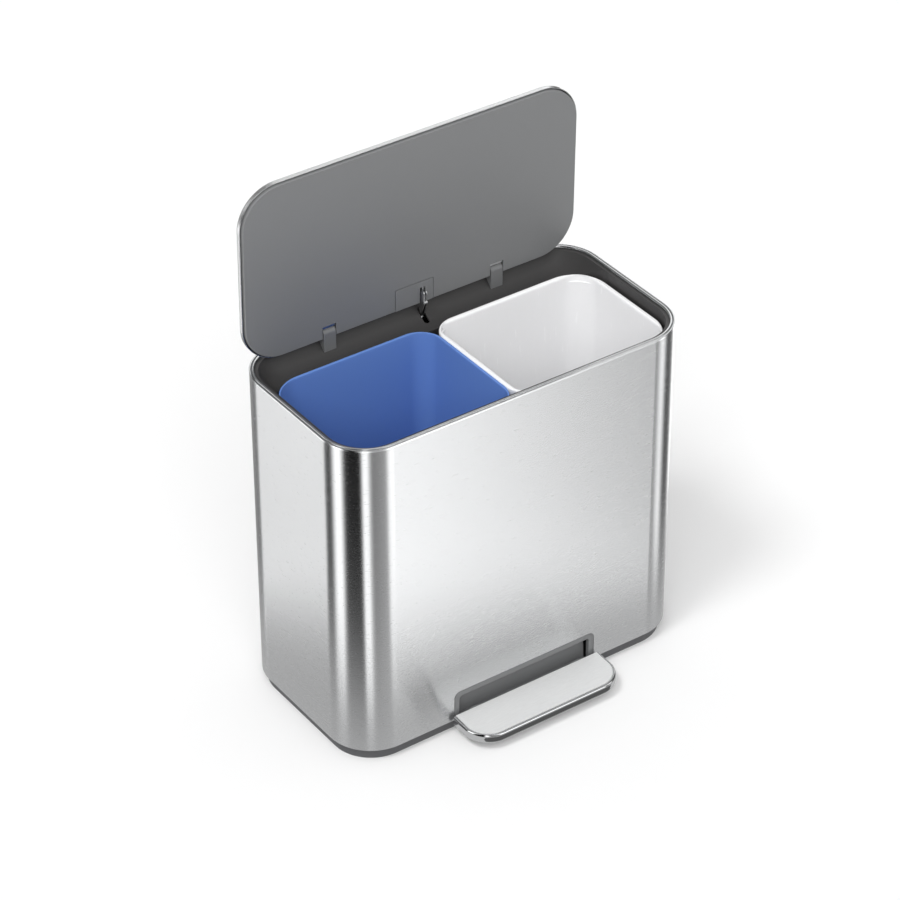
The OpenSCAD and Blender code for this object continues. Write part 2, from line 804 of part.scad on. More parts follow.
module pedal_lever() {
    web_z = lever_z;
    slot_r = rod_pin_r + fit;
    front_end = tongue_back - over;
    color("#a9aaab") difference() {
        union() {
            box([link_x - lever_plate_hw, front_end - lever_plate_l, web_z],
                [link_x + lever_plate_hw, front_end, web_z + lever_t]);
            box([link_x - lever_hw, front_end - lever_t, web_z],
                [link_x + lever_hw, -lever_eye_r, web_z + lever_t]);
            translate([link_x - lever_hw + lever_t / 2, 0, axle_z]) rotate([foot_angle, 0, 0]) {
                translate([0, lever_eye_r, (lever_t - lever_bar_h) / 2]) {
                    cube([lever_w - lever_t, foot_reach - lever_eye_r - lever_web_stop, lever_t]);
                }
            }
            for (x0 = [link_x - lever_hw, link_x + lever_hw - lever_t]) yz_plate(x0, lever_t) {
                translate([front_end, web_z]) square([-front_end, lever_front_h]);
                translate([0, axle_z]) circle(r = lever_eye_r);
                translate([0, axle_z]) rotate(foot_angle) translate([0, -lever_bar_h / 2])
                    square([foot_reach, lever_bar_h]);
                translate([hinge_y, foot_z]) circle(r = lever_bar_h / 2 + fit);
            }
        }
        x_rod(axle_r + run, link_x - lever_w, link_x + lever_w, 0, axle_z);
        yz_plate(link_x - lever_w, 2 * lever_w) {
            bar([hinge_y - pass * cos(foot_angle) * 4, foot_z - pass * sin(foot_angle) * 4],
                [hinge_y + pass * cos(foot_angle), foot_z + pass * sin(foot_angle)], 2 * slot_r);
        }
        screw_places() cylinder(r = screw_r, h = deck_z);
    }
}

// Places of the screws that hold the lever to the pedal
module screw_places() {
    for (sx = [-1, 1], share = pedal_screw_shares) {
        translate([link_x + sx * pedal_screw_x, tongue_back - over - share * lever_plate_l, 0]) children();
    }
}

module pedal_screws() {
    color("silver") screw_places() translate([0, 0, lever_z + lever_t]) screw(lever_t + tongue_t - clip_t);
}

// Puts the pedal's top in its place, from the rear edge of its upper face
module pedal_place() {
    translate([0, front_y - pedal_gap, pedal_top_z]) rotate([pedal_tilt, 0, 0]) children();
}

// Outline of the pedal's top with round front corners
module tread_outline(hw, d, r) {
    translate([-hw, -(d - r)]) square([2 * hw, d - r]);
    translate([-(hw - r), -d]) square([2 * (hw - r), d]);
    for (sx = [-1, 1]) translate([sx * (hw - r), -(d - r)]) circle(r = r);
}

// Sweep of a profile along both sides and the front of the pedal
module tread_sweep(hw, d, r) {
    for (flip = [0, 1]) mirror([flip, 0, 0]) {
        translate([hw, 0, 0]) sweep_side(d - r) children();
        translate([hw - r, -(d - r), 0]) rotate([0, 0, -90]) sweep_corner(r) children();
    }
    translate([-(hw - r), -d, 0]) rotate([90, 0, 90]) linear_extrude(2 * (hw - r)) children();
}

module pedal_tread() {
    color("#cfd0d1") pedal_place() translate([0, 0, -tread_t]) linear_extrude(tread_t)
        tread_outline(tread_hw, tread_d, tread_r);
}

module pedal_frame() {
    in = band_w + band_under;
    profile = concat(
        [[in, -tread_t], [band_w, -tread_t], [band_w, -rim_edge_r]],
        arc([band_edge_r, -rim_edge_r - band_edge_r], band_edge_r, 90, 180),
        arc([band_edge_r, band_edge_r - band_h], band_edge_r, 180, 270),
        [[in, -band_h]]
    );
    color("#dddee0") pedal_place() tread_sweep(tread_hw + band_w, tread_d + band_w, tread_r + band_w)
        polygon(profile);
}

module pedal_core() {
    hollow = core_t + tread_t;
    lip = band_under;
    neck_z = neck_top_z - neck_t;
    shield_y = front_y + shield_inset;
    color("#5c5d5e") {
        difference() {
            union() {
                pedal_place() translate([0, 0, -band_h]) linear_extrude(band_h - tread_t) {
                    tread_outline(tread_hw - lip, tread_d - lip, tread_r - lip);
                }
                box([-neck_hw, front_y - pedal_gap - tread_d / 4, neck_z],
                    [neck_hw, shield_y + shield_t, neck_top_z]);
            }
            pedal_place() difference() {
                translate([0, 0, -2 * band_h]) linear_extrude(2 * band_h - hollow) {
                    tread_outline(tread_hw - lip - core_t, tread_d - lip - core_t, tread_r - lip - core_t);
                }
                box([-tread_hw, -tread_d / 4 - core_t, -2 * band_h - over], [tread_hw, over, 0]);
            }
        }
        difference() {
            box([-tongue_hw, shield_y, neck_z], [tongue_hw, tongue_back, neck_z + tongue_t]);
            screw_places() cylinder(r = screw_r, h = deck_z);
        }
        translate([-neck_hw, 0, axle_z]) rotate([0, 90, 0]) {
            rotate_extrude(start = 270 - shield_high, angle = shield_high - shield_low) {
                translate([shield_r - shield_t, 0]) square([shield_t, 2 * neck_hw]);
            }
        }
    }
}

module lid_shell() {
    profile = concat(
        [[0, lip_z]],
        arc([cap_edge_r, cap_z - cap_edge_r], cap_edge_r, 180, 90),
        arc([cap_edge_r, cap_z - cap_edge_r], cap_edge_r - cap_t, 90, 180),
        [[cap_t, lip_z]]
    );
    color("#c4c5c6") open_lid() difference() {
        union() {
            translate([0, (lid_front + lid_rear) / 2, 0]) round_sweep(lid_w, lid_d, lid_r) polygon(profile);
            lid_slab(cap_edge_r, cap_z - cap_t, cap_z);
        }
        lid_notches();
    }
}

module lid_liner() {
    inner_z = face_z + liner_t;
    roof_z = cap_z - cap_t;
    rib_front = lid_front + lid_d / 4;
    rib_rear = liner_rear - plate_d - plate_end;
    color("#717274") open_lid() difference() {
        union() {
            lid_slab(liner_inset, face_z, inner_z);
            difference() {
                lid_slab(liner_inset, inner_z, roof_z - cap_edge_r);
                lid_slab(liner_inset + liner_wall_t, face_z, roof_z + over);
            }
            for (share = liner_rib_shares) {
                x = (share - 0.5) * lid_w;
                box([x - liner_wall_t / 2, rib_front, inner_z - liner_wall_t],
                    [x + liner_wall_t / 2, rib_rear, roof_z]);
            }
        }
        lid_notches();
        box([-cover_w / 2, liner_rear - cover_d, face_z - over],
            [cover_w / 2, liner_rear + over, face_z + cover_t]);
        box([-cover_w / 2 + cover_lap, liner_rear - cover_d + cover_lap, face_z - over],
            [cover_w / 2 - cover_lap, liner_rear - liner_wall_t - fit, inner_z + over]);
        arm_slot(link_x - arm_slot_w / 2, arm_slot_w);
    }
}

module link_cover() {
    x1 = cover_w / 2 - cover_groove;
    y0 = liner_rear - cover_d + cover_groove;
    color("#6c6d6f") open_lid() difference() {
        translate([0, 0, face_z]) linear_extrude(cover_t) {
            translate([-x1, y0 + cover_r]) square([2 * x1, liner_rear - y0 - cover_r]);
            translate([-x1 + cover_r, y0]) square([2 * (x1 - cover_r), cover_d / 2]);
            for (sx = [-1, 1]) translate([sx * (x1 - cover_r), y0 + cover_r]) circle(r = cover_r);
        }
        arm_slot(link_x - arm_slot_w / 2, arm_slot_w);
    }
}

module hinge_plate() {
    inner_z = face_z + liner_t;
    plate_front = boss_r - plate_d;
    end_x = lug_x + notch_w / 2 + boss_l + plate_end;
    ear_a = -half_turn;
    color("silver") open_lid() difference() {
        union() {
            difference() {
                box([-end_x, plate_front, inner_z], [end_x, boss_r - run, inner_z + plate_t]);
                lid_notches();
                box([arm_x - pass, -arm_slot_d, face_z], [ear_x - fit, boss_r, boss_r]);
            }
            for (sx = [-1, 1], side = [-1, 1]) {
                near = sx * lug_x + side * notch_w / 2;
                far = near + side * boss_l;
                x_rod(boss_r - run, min(near, far), max(near, far), 0, 0);
            }
            yz_plate(ear_x, ear_t) intersection() {
                rotate(180 - ear_a) translate([ear_hw, -ear_hw]) square([slot_out - ear_hw, 2 * ear_hw]);
                translate([-lid_d, -lid_d]) square([lid_d + boss_r, lid_d + inner_z + plate_t]);
            }
            yz_plate(ear_x, ear_t) rotate(180 - ear_a) translate([slot_out, 0]) circle(r = ear_hw);
        }
        for (sx = [-1, 1]) {
            x_rod(hinge_pin_r, sx * lug_x - lug_w, sx * lug_x + lug_w, 0, 0);
        }
        yz_plate(ear_x - over / 4, ear_t + over / 2) rotate(180 - ear_a) {
            bar([slot_in, 0], [slot_out, 0], 2 * (link_pin_r + link_play));
        }
        lid_screw_places() translate([0, 0, -over]) cylinder(r = screw_r, h = 2 * over);
    }
}

// Places of the screws that hold the hinge plate to the liner
module lid_screw_places() {
    inner_z = face_z + liner_t;
    for (x = [-lug_x / 2, lug_x / 2, -lug_x - notch_w, lug_x + notch_w]) {
        translate([x, -plate_d / 2, inner_z + plate_t]) children();
    }
}

module hinge_pins() {
    reach = notch_w / 2 + boss_l - fit;
    color("silver") open_lid() for (sx = [-1, 1]) {
        x_rod(hinge_pin_r, sx * lug_x - reach, sx * lug_x + reach, 0, 0);
    }
}

module lid_screws() {
    color("silver") open_lid() lid_screw_places() screw(plate_t);
}

// Bucket shape: four tapered corners, drawn in by inset at the rim. Outer corners lie at the -X end
module bucket_form(inset, z0) {
    high = bucket_z - z0;
    fall = bucket_taper * high / (bucket_z - deck_z);
    mid_x = -middle_gap / 2;
    hull() for (sy = [-1, 1]) {
        y_end = sy < 0 ? bucket_front : bucket_rear;
        translate([-bucket_side + bucket_r, y_end - sy * bucket_r, z0]) {
            cylinder(r1 = bucket_r - inset - fall, r2 = bucket_r - inset, h = high, $fn = bucket_fn);
        }
        translate([mid_x - middle_r, y_end - sy * middle_r, z0]) {
            cylinder(r1 = middle_r - inset - fall, r2 = middle_r - inset, h = high, $fn = bucket_fn);
        }
    }
}

module bucket(rim) {
    difference() {
        union() {
            bucket_form(rim - bucket_t, deck_z);
            intersection() {
                bucket_form(0, deck_z);
                box([-body_w, -body_d, bucket_z - bucket_rim_h], [body_w, body_d, body_h]);
            }
        }
        translate([0, 0, over / 4]) bucket_form(rim, deck_z + bucket_t);
    }
}

module blue_bucket() {
    color("#4a6db5") bucket(blue_rim_w);
}

module white_bucket() {
    color("#e6e6e6") mirror([1, 0, 0]) bucket(white_rim_w);
}

outer_sleeve();
rim_ring();
inner_frame();
base_tray();
bucket_floor();
pedal_bezel();
rod_cover();
rod_guides();
damper_mount();
damper_cylinder();
damper_cap();
pedal_axle();
axle_clips();
hinge_lugs();
hinge_screws();
floor_screws();
cover_screws();
feet();
lid_shell();
lid_liner();
link_cover();
hinge_plate();
hinge_pins();
lid_screws();
push_rod();
lift_arm();
link_pin();
rod_head_pin();
rod_foot_pin();
damper_yoke();
damper_piston();
pedal_core();
pedal_frame();
pedal_tread();
pedal_lever();
pedal_screws();
blue_bucket();
white_bucket();
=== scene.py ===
import json
import math

import bmesh
import bpy
from bpy.props import FloatProperty, FloatVectorProperty, IntProperty, PointerProperty
from mathutils import Matrix, Vector


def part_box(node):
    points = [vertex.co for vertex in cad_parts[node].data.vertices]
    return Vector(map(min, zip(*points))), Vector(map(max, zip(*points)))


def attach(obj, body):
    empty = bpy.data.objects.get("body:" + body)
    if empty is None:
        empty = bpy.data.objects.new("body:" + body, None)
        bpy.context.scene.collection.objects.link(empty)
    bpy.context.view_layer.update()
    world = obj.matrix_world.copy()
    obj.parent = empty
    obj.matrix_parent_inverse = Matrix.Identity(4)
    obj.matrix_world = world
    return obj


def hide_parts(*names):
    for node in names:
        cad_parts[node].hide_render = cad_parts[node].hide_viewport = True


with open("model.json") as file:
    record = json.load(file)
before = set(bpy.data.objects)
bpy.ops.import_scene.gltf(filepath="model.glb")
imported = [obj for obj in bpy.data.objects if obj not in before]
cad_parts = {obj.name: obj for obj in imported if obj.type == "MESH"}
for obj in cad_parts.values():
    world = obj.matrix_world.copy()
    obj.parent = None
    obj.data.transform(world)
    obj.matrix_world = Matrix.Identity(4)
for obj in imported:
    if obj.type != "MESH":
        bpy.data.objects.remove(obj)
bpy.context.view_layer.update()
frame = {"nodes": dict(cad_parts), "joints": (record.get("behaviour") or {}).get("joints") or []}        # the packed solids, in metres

bl_info = {
    "name": "Double Recycling Bin",
    "version": (1, 0, 0),
    "blender": (4, 5, 0),
    "location": "View3D > Sidebar > Recycling Bin",
    "description": "Dresses the solids of a double recycling bin and sets its studio",
    "category": "Object",
}

MM = 0.001

# Signs of x and y of a rectangle's corners: front left, front right, rear right, rear left
CORNERS = [(-1, -1), (1, -1), (1, 1), (-1, 1)]

# Faces along the arc of a small rounding, of a clear one and of the rim's bead
FEW, SOME, MANY = 4, 8, 14

# Edges that bend by more than this stay sharp, in degrees: on pieces with flat sides and on round ones
FLAT_SIDED, ROUNDED = 35.0, 50.0

# Points closer together than this are one point
MERGE = 0.001 * MM

# Places that the solids give
SLEEVE_LOW, SLEEVE_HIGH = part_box("outer_sleeve")
RIM_LOW, RIM_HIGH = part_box("rim_ring")
HINGE = next(joint for joint in frame["joints"] if joint["name"] == "lid_hinge")["pos_m"]


def linear(hex_colour):
    """Turns an sRGB hex colour into linear RGBA."""
    text = hex_colour.lstrip("#")
    parts = [int(text[i:i + 2], 16) / 255 for i in (0, 2, 4)]
    return [c / 12.92 if c <= 0.04045 else ((c + 0.055) / 1.055) ** 2.4 for c in parts] + [1.0]


def colour(name, hex_colour, text):
    """An sRGB colour as a property."""
    return FloatVectorProperty(
        name=name, description=text, default=linear(hex_colour), subtype="COLOR", size=4)


def length(name, size, text):
    """A length in millimetres as a property in metres."""
    return FloatProperty(name=name, description=text, default=size * MM, unit="LENGTH", precision=5)


def angle(name, degrees, text):
    """An angle in degrees as a property."""
    return FloatProperty(name=name, description=text, default=math.radians(degrees), unit="ROTATION")


def level(name, value, text):
    """A brightness as a property."""
    return FloatProperty(name=name, description=text, default=value, subtype="FACTOR")


class FinishSettings(bpy.types.PropertyGroup):
    """Colours of the bin's finishes."""

    steel: colour("Steel", "#E2E3E4", "Colour of the brushed stainless steel")
    tread: colour("Tread", "#F2F3F3", "Colour of the pedal's satin plate")
    chrome: colour("Chrome", "#E4E5E6", "Colour of the pedal's chromed edge")
    zinc: colour("Zinc", "#D2D3D4", "Colour of the zinc-plated parts of the linkage")
    body_plastic: colour("Body plastic", "#3A3939", "Colour of the grey plastic inside the rim")
    trim_plastic: colour("Trim plastic", "#7A7B7C", "Colour of the pedal's surround and of the hinge lugs")
    base_plastic: colour("Base plastic", "#58595B", "Colour of the plastic of the base")
    liner_plastic: colour("Liner plastic", "#808182", "Colour of the plastic under the lid")
    blue_plastic: colour("Blue plastic", "#678BCF", "Colour of the blue bucket")
    white_plastic: colour("White plastic", "#F9F9FA", "Colour of the white bucket")
    black_plastic: colour("Black plastic", "#2A2B2C", "Colour of the damper")
    rubber: colour("Rubber", "#2B2B2B", "Colour of the feet")


class ShapeSettings(bpy.types.PropertyGroup):
    """How finely the pieces are modelled."""

    corner_steps: IntProperty(
        name="Corner steps", description="Faces round each upright corner", default=20, min=4, max=48)


class BodySettings(bpy.types.PropertyGroup):
    """Sizes of the body that its solids don't give."""

    corner: length("Corner", 49, "Outer radius of the body's upright corners")
    wall: length("Sheet", 0.8, "Thickness of the steel sleeve")
    opening_half: length("Opening half width", 86.8, "Half the width of the pedal opening")
    opening_top: length("Opening top", 47.3, "Height of the pedal opening's upper edge")
    opening_corner: length("Opening corner", 7, "Radius of the opening's upper corners")
    rim: length("Rim width", 5.5, "Width of the rim seen from above")
    lip: length("Lip width", 1.4, "Width of the rim's outer lip")
    groove: length("Groove", 0.7, "Width of the groove between lip and bead")
    lip_drop: length("Lip drop", 0.4, "How far the lip lies below the bead's top")
    slot_place: length("Slot place", 10.1, "From the middle to the slot for the lift arm in the ledge")
    slot_width: length("Slot width", 6.2, "Width of that slot")
    slot_front: length("Slot front", 76, "From the body's middle back to the slot's front end")
    slot_reach: length("Slot reach", 9, "How far the slot's front end reaches back")
    slot_low: length("Slot low", 26, "How far that end reaches down below the rim's seat")
    edge_round: length("Edge rounding", 0.4, "Rounding of moulded edges")


class LidSettings(bpy.types.PropertyGroup):
    """Sizes of the closed lid, counted from the hinge axis."""

    opening: angle("Opening", 89, "How far the lid stands open")
    width: length("Width", 394, "Width of the cap")
    front: length("Front", 188.4, "From the hinge axis to the cap's front edge")
    rear: length("Rear", 6.3, "From the hinge axis to the cap's rear edge")
    corner: length("Corner", 43.5, "Radius of the cap's corners")
    cap: length("Cap height", 3.9, "Height of the cap's upper face above the axis")
    lip: length("Lip", -2.1, "Height of the cap's lower edge above the axis")
    edge: length("Edge", 2.4, "Rounding of the cap's upper edge")
    cap_wall: length("Cap sheet", 0.8, "Thickness of the cap's sheet")
    liner_inset: length("Liner inset", 2, "From the cap's edge to the liner's edge")
    liner_face: length("Liner face", -5.1, "Height of the liner's lower face above the axis")
    liner_wall: length("Liner wall", 1.2, "Thickness of the liner's upright wall")
    liner_edge: length("Liner edge", 0.9, "Rounding of the liner's lower edge")
    notch_place: length("Notch place", 100, "From the middle to each hinge notch")
    notch_width: length("Notch width", 16, "Width of the hinge notches")
    notch_depth: length("Notch depth", 6, "From the hinge axis to the notches' front edge")
    notch_gap: length("Notch gap", 3.4, "How much deeper the notches are in the liner")
    notch_round: length("Notch rounding", 0.6, "Radius of the notches' inner corners")
    cover_width: length("Cover width", 45, "Width of the recess of the linkage cover")
    cover_depth: length("Cover depth", 24.6, "Depth of the recess of the linkage cover")
    cover_gap: length("Cover gap", 0.5, "How much wider the recess is drawn, so that its seam shows")
    cover_thick: length("Cover thickness", 1.2, "Thickness of the linkage cover")
    cover_round: length("Cover corner", 2.2, "Radius of the recess's corners")
    slot_low: length("Slot left", 7.0, "Left edge of the slot for the lift arm")
    slot_high: length("Slot right", 13.2, "Right edge of the slot for the lift arm")
    slot_depth: length("Slot depth", 12.9, "From the hinge axis to the slot's front edge")


class BucketSettings(bpy.types.PropertyGroup):
    """Sizes of the buckets that their solids don't give."""

    side_corner: length("Side corner", 37.8, "Radius of the corners at the body's sides")
    middle_corner: length("Middle corner", 27, "Radius of the corners at the body's middle")
    taper: length("Taper", 7.5, "How far each wall leans in from the rim to the floor")
    wall: length("Wall", 2, "Thickness of the walls")
    blue_rim: length("Blue rim", 3, "Width of the blue bucket's rim")
    blue_round: length("Blue rounding", 0.8, "Rounding of the blue bucket's rim")
    white_rim: length("White rim", 5.5, "Width of the white bucket's rim")
    white_round: length("White rounding", 2.2, "Rounding of the white bucket's rim")
    blue_tight: length("Blue tightening", 3, "How much tighter the blue rim's inner corners are")
    white_tight: length("White tightening", 9, "How much tighter the white rim's inner corners are")
    deep_tight: length("Inner tightening", 3, "How much tighter the inner corners are further down")
    blend: length("Blend", 35, "Height over which the corners tighten below the rim")
    rim_height: length("Rim height", 7, "Height of the rims' skirts")
    step: length("Step", 0.3, "How far the wall stands in from the rim's inner edge")
    step_drop: length("Step drop", 4, "Depth of the step below the rim's top")
    floor_round: length("Floor rounding", 5, "Rounding between wall and floor")


class PedalSettings(bpy.types.PropertyGroup):
    """Sizes of the pedal."""

    gap: length("Gap", 4, "From the body's front to the tread's rear edge")
    top: length("Top", 22.6, "Height of the tread's rear edge")
    tilt: angle("Tilt", 2, "Slope of the tread down to its front")
    half_width: length("Half width", 87.7, "Half the width of the tread plate")
    depth: length("Depth", 44, "Depth of the tread plate")
    corner: length("Corner", 25, "Radius of the tread's front corners")
    tread_thick: length("Tread thickness", 1.2, "Thickness of the tread plate")
    band: length("Band", 3.3, "Width of the chromed band round the plate")
    band_under: length("Band under", 3, "How far the band reaches under the plate")
    band_height: length("Band height", 11, "Height of the chromed band")
    band_edge: length("Band edge", 2.8, "Rounding of the band's edges")
    band_groove: length("Band groove", 0.6, "Width and depth of the groove between plate and band")
    band_drop: length("Band drop", 0.5, "How far the band lies below the plate's face")


class StageSettings(bpy.types.PropertyGroup):
    """Camera and light."""

    azimuth: angle("Azimuth", -34.93, "Angle of the camera round the bin, from the front")
    elevation: angle("Elevation", 35.03, "Angle of the camera above the floor")
    roll: angle("Roll", -0.26, "Turn of the camera about its line of sight")
    distance: length("Distance", 3361.4, "From the camera to the point that it looks at")
    lens: FloatProperty(
        name="Lens", description="Focal length on a sensor 36 mm wide", default=136.13, unit="CAMERA")
    target: FloatVectorProperty(
        name="Target", description="Point that the camera looks at",
        subtype="XYZ", size=3, default=(-17.35 * MM, 0, 254.61 * MM))
    key: level("Key light", 1.08, "Strength of the light from the upper left")
    fill: level("Fill light", 1.2, "Strength of the wide light beside the camera")
    ambient: level("Ambient", 0.76, "Strength of the light from all round")
    panel: level("Panels", 2.5, "Brightness of the panels that the metal mirrors")
    paper: level("Paper lift", 0.055, "How much brighter the camera sees the paper")
    # Painted reflection: glowing cards that the metal mirrors in place of the floor, with a painted shade in
    # front of the pedal
    painted_reflection: level("Bounce", 0.55, "Brightness of the floor close to the bin, as the metal mirrors it")
    painted_reflection_fade: level("Bounce fade", 0.55, "Share of that floor's width over which it fades out")
    painted_reflection_reach: length("Bounce reach", 260, "How far that floor reaches out from the bin")
    floor_half: length("Floor half width", 6000, "Half the width of the floor")


def outline(bm, width, depth, radii, centre):
    """The edges of a flat rounded rectangle. radii: front left, front right, rear right, rear left."""
    steps = bpy.context.scene.bin_shape.corner_steps
    verts = bmesh.ops.create_grid(bm, x_segments=1, y_segments=1, size=0.5)["verts"]
    bmesh.ops.scale(bm, vec=(width, depth, 1.0), verts=verts)
    bmesh.ops.translate(bm, vec=(*centre, 0.0), verts=verts)
    face = verts[0].link_faces[0]
    for (sx, sy), radius in zip(CORNERS, radii):
        if radius:
            place = Vector((centre[0] + sx * width / 2, centre[1] + sy * depth / 2, 0))
            vert = min(face.verts, key=lambda v: (v.co - place).length)
            done = bmesh.ops.bevel(bm, geom=[vert], offset=radius, segments=steps, profile=0.5,
                                   affect="VERTICES", material=-1)
            face = done["verts"][0].link_faces[0]
    edges = list(face.edges)
    bmesh.ops.delete(bm, geom=[face], context="FACES_ONLY")
    return edges


def sweep(bm, width, depth, radii, profile, centre=(0.0, 0.0), closed=True, rear=True):
    """Sweeps a profile of (inset, height) round a rounded rectangle and returns the first and last ring's
    edges. A third value in the profile is taken off the corners' radius there. A square corner, of radius 0,
    is inset sideways only. Without rear, the rear side stays open."""
    edges = outline(bm, width, depth, radii, centre)
    if not rear:
        back = max(edges, key=lambda e: e.verts[0].co.y + e.verts[1].co.y)
        edges.remove(back)
        bmesh.ops.delete(bm, geom=[back], context="EDGES")
    first = edges

    def corner(signs, inset, tight=0.0):
        """Middle and radius of one corner's arc."""
        radius = radii[CORNERS.index(signs)] - inset - tight
        away = [side / 2 - inset - radius for side in (width, depth)]
        return Vector(m + sign * a for m, sign, a in zip(centre, signs, away)), radius

    before = (0.0,)
    for step, (inset, z, *tight) in enumerate(list(profile) + ([profile[0]] if closed else [])):
        if step:
            made = bmesh.ops.extrude_edge_only(bm, edges=edges)["geom"]
            fresh = {g for g in made if isinstance(g, bmesh.types.BMVert)}
            edges = [g for g in made if isinstance(g, bmesh.types.BMEdge) and set(g.verts) <= fresh]
        for vert in {v for e in edges for v in e.verts}:
            signs = (1 if vert.co.x > centre[0] else -1, 1 if vert.co.y > centre[1] else -1)
            if radii[CORNERS.index(signs)]:
                way = (vert.co.xy - corner(signs, *before)[0]).normalized()
                turn, radius = corner(signs, inset, *tight)
                vert.co.xy = turn + way * radius
            else:
                vert.co.x = centre[0] + signs[0] * (width / 2 - inset)
            vert.co.z = z
        before = (inset, *tight)
    return first, edges


def cap(bm, *rings):
    """Fills flat rings of edges."""
    for edges in rings:
        bmesh.ops.edgeloop_fill(bm, edges=edges)


def arc(centre, radius, start, end, steps=5):
    """Points of an arc, angles in degrees."""
    turns = [math.radians(start + (end - start) * i / steps) for i in range(steps + 1)]
    return [(centre[0] + radius * math.cos(t), centre[1] + radius * math.sin(t)) for t in turns]


def block(bm, low, high, radius=0.0, axis="Z", steps=6):
    """A box between two corners, its four edges along axis rounded. Returns its vertices."""
    made = bmesh.ops.create_cube(bm, size=1.0)
    verts = made["verts"]
    size = [b - a for a, b in zip(low, high)]
    bmesh.ops.scale(bm, vec=size, verts=verts)
    bmesh.ops.translate(bm, vec=[(a + b) / 2 for a, b in zip(low, high)], verts=verts)
    if radius:
        i = "XYZ".index(axis)
        edges = {e for v in verts for e in v.link_edges}
        along = [e for e in edges if abs(e.verts[0].co[i] - e.verts[1].co[i]) > size[i] / 2]
        done = bmesh.ops.bevel(bm, geom=along, offset=radius, segments=steps, profile=0.5,
                               affect="EDGES", material=-1)
        verts = list({v for v in verts if v.is_valid} | set(done["verts"]))
    return verts


def new_object(name, bm, body=None, material=None):
    """Turns a bmesh into an object that rides on a body. Normals point outwards."""
    bmesh.ops.remove_doubles(bm, verts=bm.verts, dist=MERGE)
    bmesh.ops.recalc_face_normals(bm, faces=bm.faces)
    mesh = bpy.data.meshes.new(name)
    bm.to_mesh(mesh)
    bm.free()
    obj = bpy.data.objects.new(name, mesh)
    bpy.context.collection.objects.link(obj)
    if body:
        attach(obj, body)
    if material:
        mesh.materials.append(bpy.data.materials[material])
    return obj


def cut(obj, cutter):
    """Takes the cutter's volume out of obj and removes the cutter."""
    tool = obj.modifiers.new("cut", "BOOLEAN")
    tool.operation = "DIFFERENCE"
    tool.solver = "EXACT"
    tool.object = cutter
    graph = bpy.context.evaluated_depsgraph_get()
    mesh = bpy.data.meshes.new_from_object(obj.evaluated_get(graph))
    obj.modifiers.remove(tool)
    old = obj.data
    mesh.name = old.name
    obj.data = mesh
    bpy.data.meshes.remove(old)
    waste = cutter.data
    bpy.data.objects.remove(cutter)
    bpy.data.meshes.remove(waste)


def soften(obj, width, sharp=FLAT_SIDED):
    """Rounds edges that bend by more than sharp by a width, and shades the rest smooth."""
    mesh = obj.data
    mesh.shade_smooth()
    mesh.set_sharp_from_angle(angle=math.radians(sharp))
    if width:
        bevel = obj.modifiers.new("edges", "BEVEL")
        bevel.width = width
        bevel.segments = 2
        bevel.limit_method = "ANGLE"
        bevel.angle_limit = math.radians(sharp)
        bevel.harden_normals = True
    weights = obj.modifiers.new("normals", "WEIGHTED_NORMAL")
    weights.keep_sharp = True


def finish_piece(obj, node, rounding=0, sharp=FLAT_SIDED):
    """Softens a piece and hides the solid whose place it takes."""
    soften(obj, rounding, sharp)
    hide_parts(node)


def add_node(tree, kind, links=(), **settings):
    """Adds a shader node. Settings name its properties or sockets, links are (own socket, other socket)."""
    node = tree.nodes.new(kind)
    for key, value in settings.items():
        if hasattr(node, key):
            setattr(node, key, value)
        else:
            node.inputs[key.replace("_", " ")].default_value = value
    for own, other in links:
        tree.links.new(other, node.inputs[own])
    return node


def new_material(name, colour, metallic, roughness, **sockets):
    """A material with one principled shader, and that shader."""
    material = bpy.data.materials.new(name)
    material.use_nodes = True
    material.diffuse_color = colour
    shader = material.node_tree.nodes["Principled BSDF"]
    shader.inputs["Base Color"].default_value = colour
    shader.inputs["Metallic"].default_value = metallic
    shader.inputs["Roughness"].default_value = roughness
    for key, value in sockets.items():
        shader.inputs[key.replace("_", " ")].default_value = value
    return material, shader


def grain(material, shader, width, stretch, rough, bump, tint=0.0):
    """Lays a grain over a material: noise as wide as width in mm, divided by stretch along each axis, that
    varies the roughness and, where asked for, the height and the colour."""
    tree = material.node_tree
    place = add_node(tree, "ShaderNodeTexCoord")
    turn = add_node(tree, "ShaderNodeMapping", links=[("Vector", place.outputs["Object"])], Scale=stretch)
    noise = add_node(tree, "ShaderNodeTexNoise", links=[("Vector", turn.outputs[0])],
                     Scale=1 / (width * MM), Detail=4.0, Roughness=0.6)
    fac = noise.outputs["Fac"]
    # Nearly all of the noise lies between 0.3 and 0.7
    span = add_node(tree, "ShaderNodeMapRange", links=[("Value", fac)], To_Min=rough[0], To_Max=rough[1],
                    From_Min=0.3, From_Max=0.7)
    tree.links.new(span.outputs[0], shader.inputs["Roughness"])
    if bump:
        height = add_node(tree, "ShaderNodeBump", links=[("Height", fac)], Strength=bump, Distance=0.1 * MM)
        tree.links.new(height.outputs[0], shader.inputs["Normal"])
    if tint:
        base = list(shader.inputs["Base Color"].default_value)
        mix = add_node(tree, "ShaderNodeMix", links=[("Factor", fac)], data_type="RGBA")
        mix.inputs[6].default_value = [c * (1 - tint) for c in base[:3]] + [1.0]
        mix.inputs[7].default_value = base
        tree.links.new(mix.outputs[2], shader.inputs["Base Color"])
    return material


def brush(material, shader, turn):
    """Stretches the highlights across lines that run level round the upright axis."""
    tree = material.node_tree
    around = add_node(tree, "ShaderNodeTangent", direction_type="RADIAL", axis="Z")
    tree.links.new(around.outputs[0], shader.inputs["Tangent"])
    shader.inputs["Anisotropic Rotation"].default_value = turn


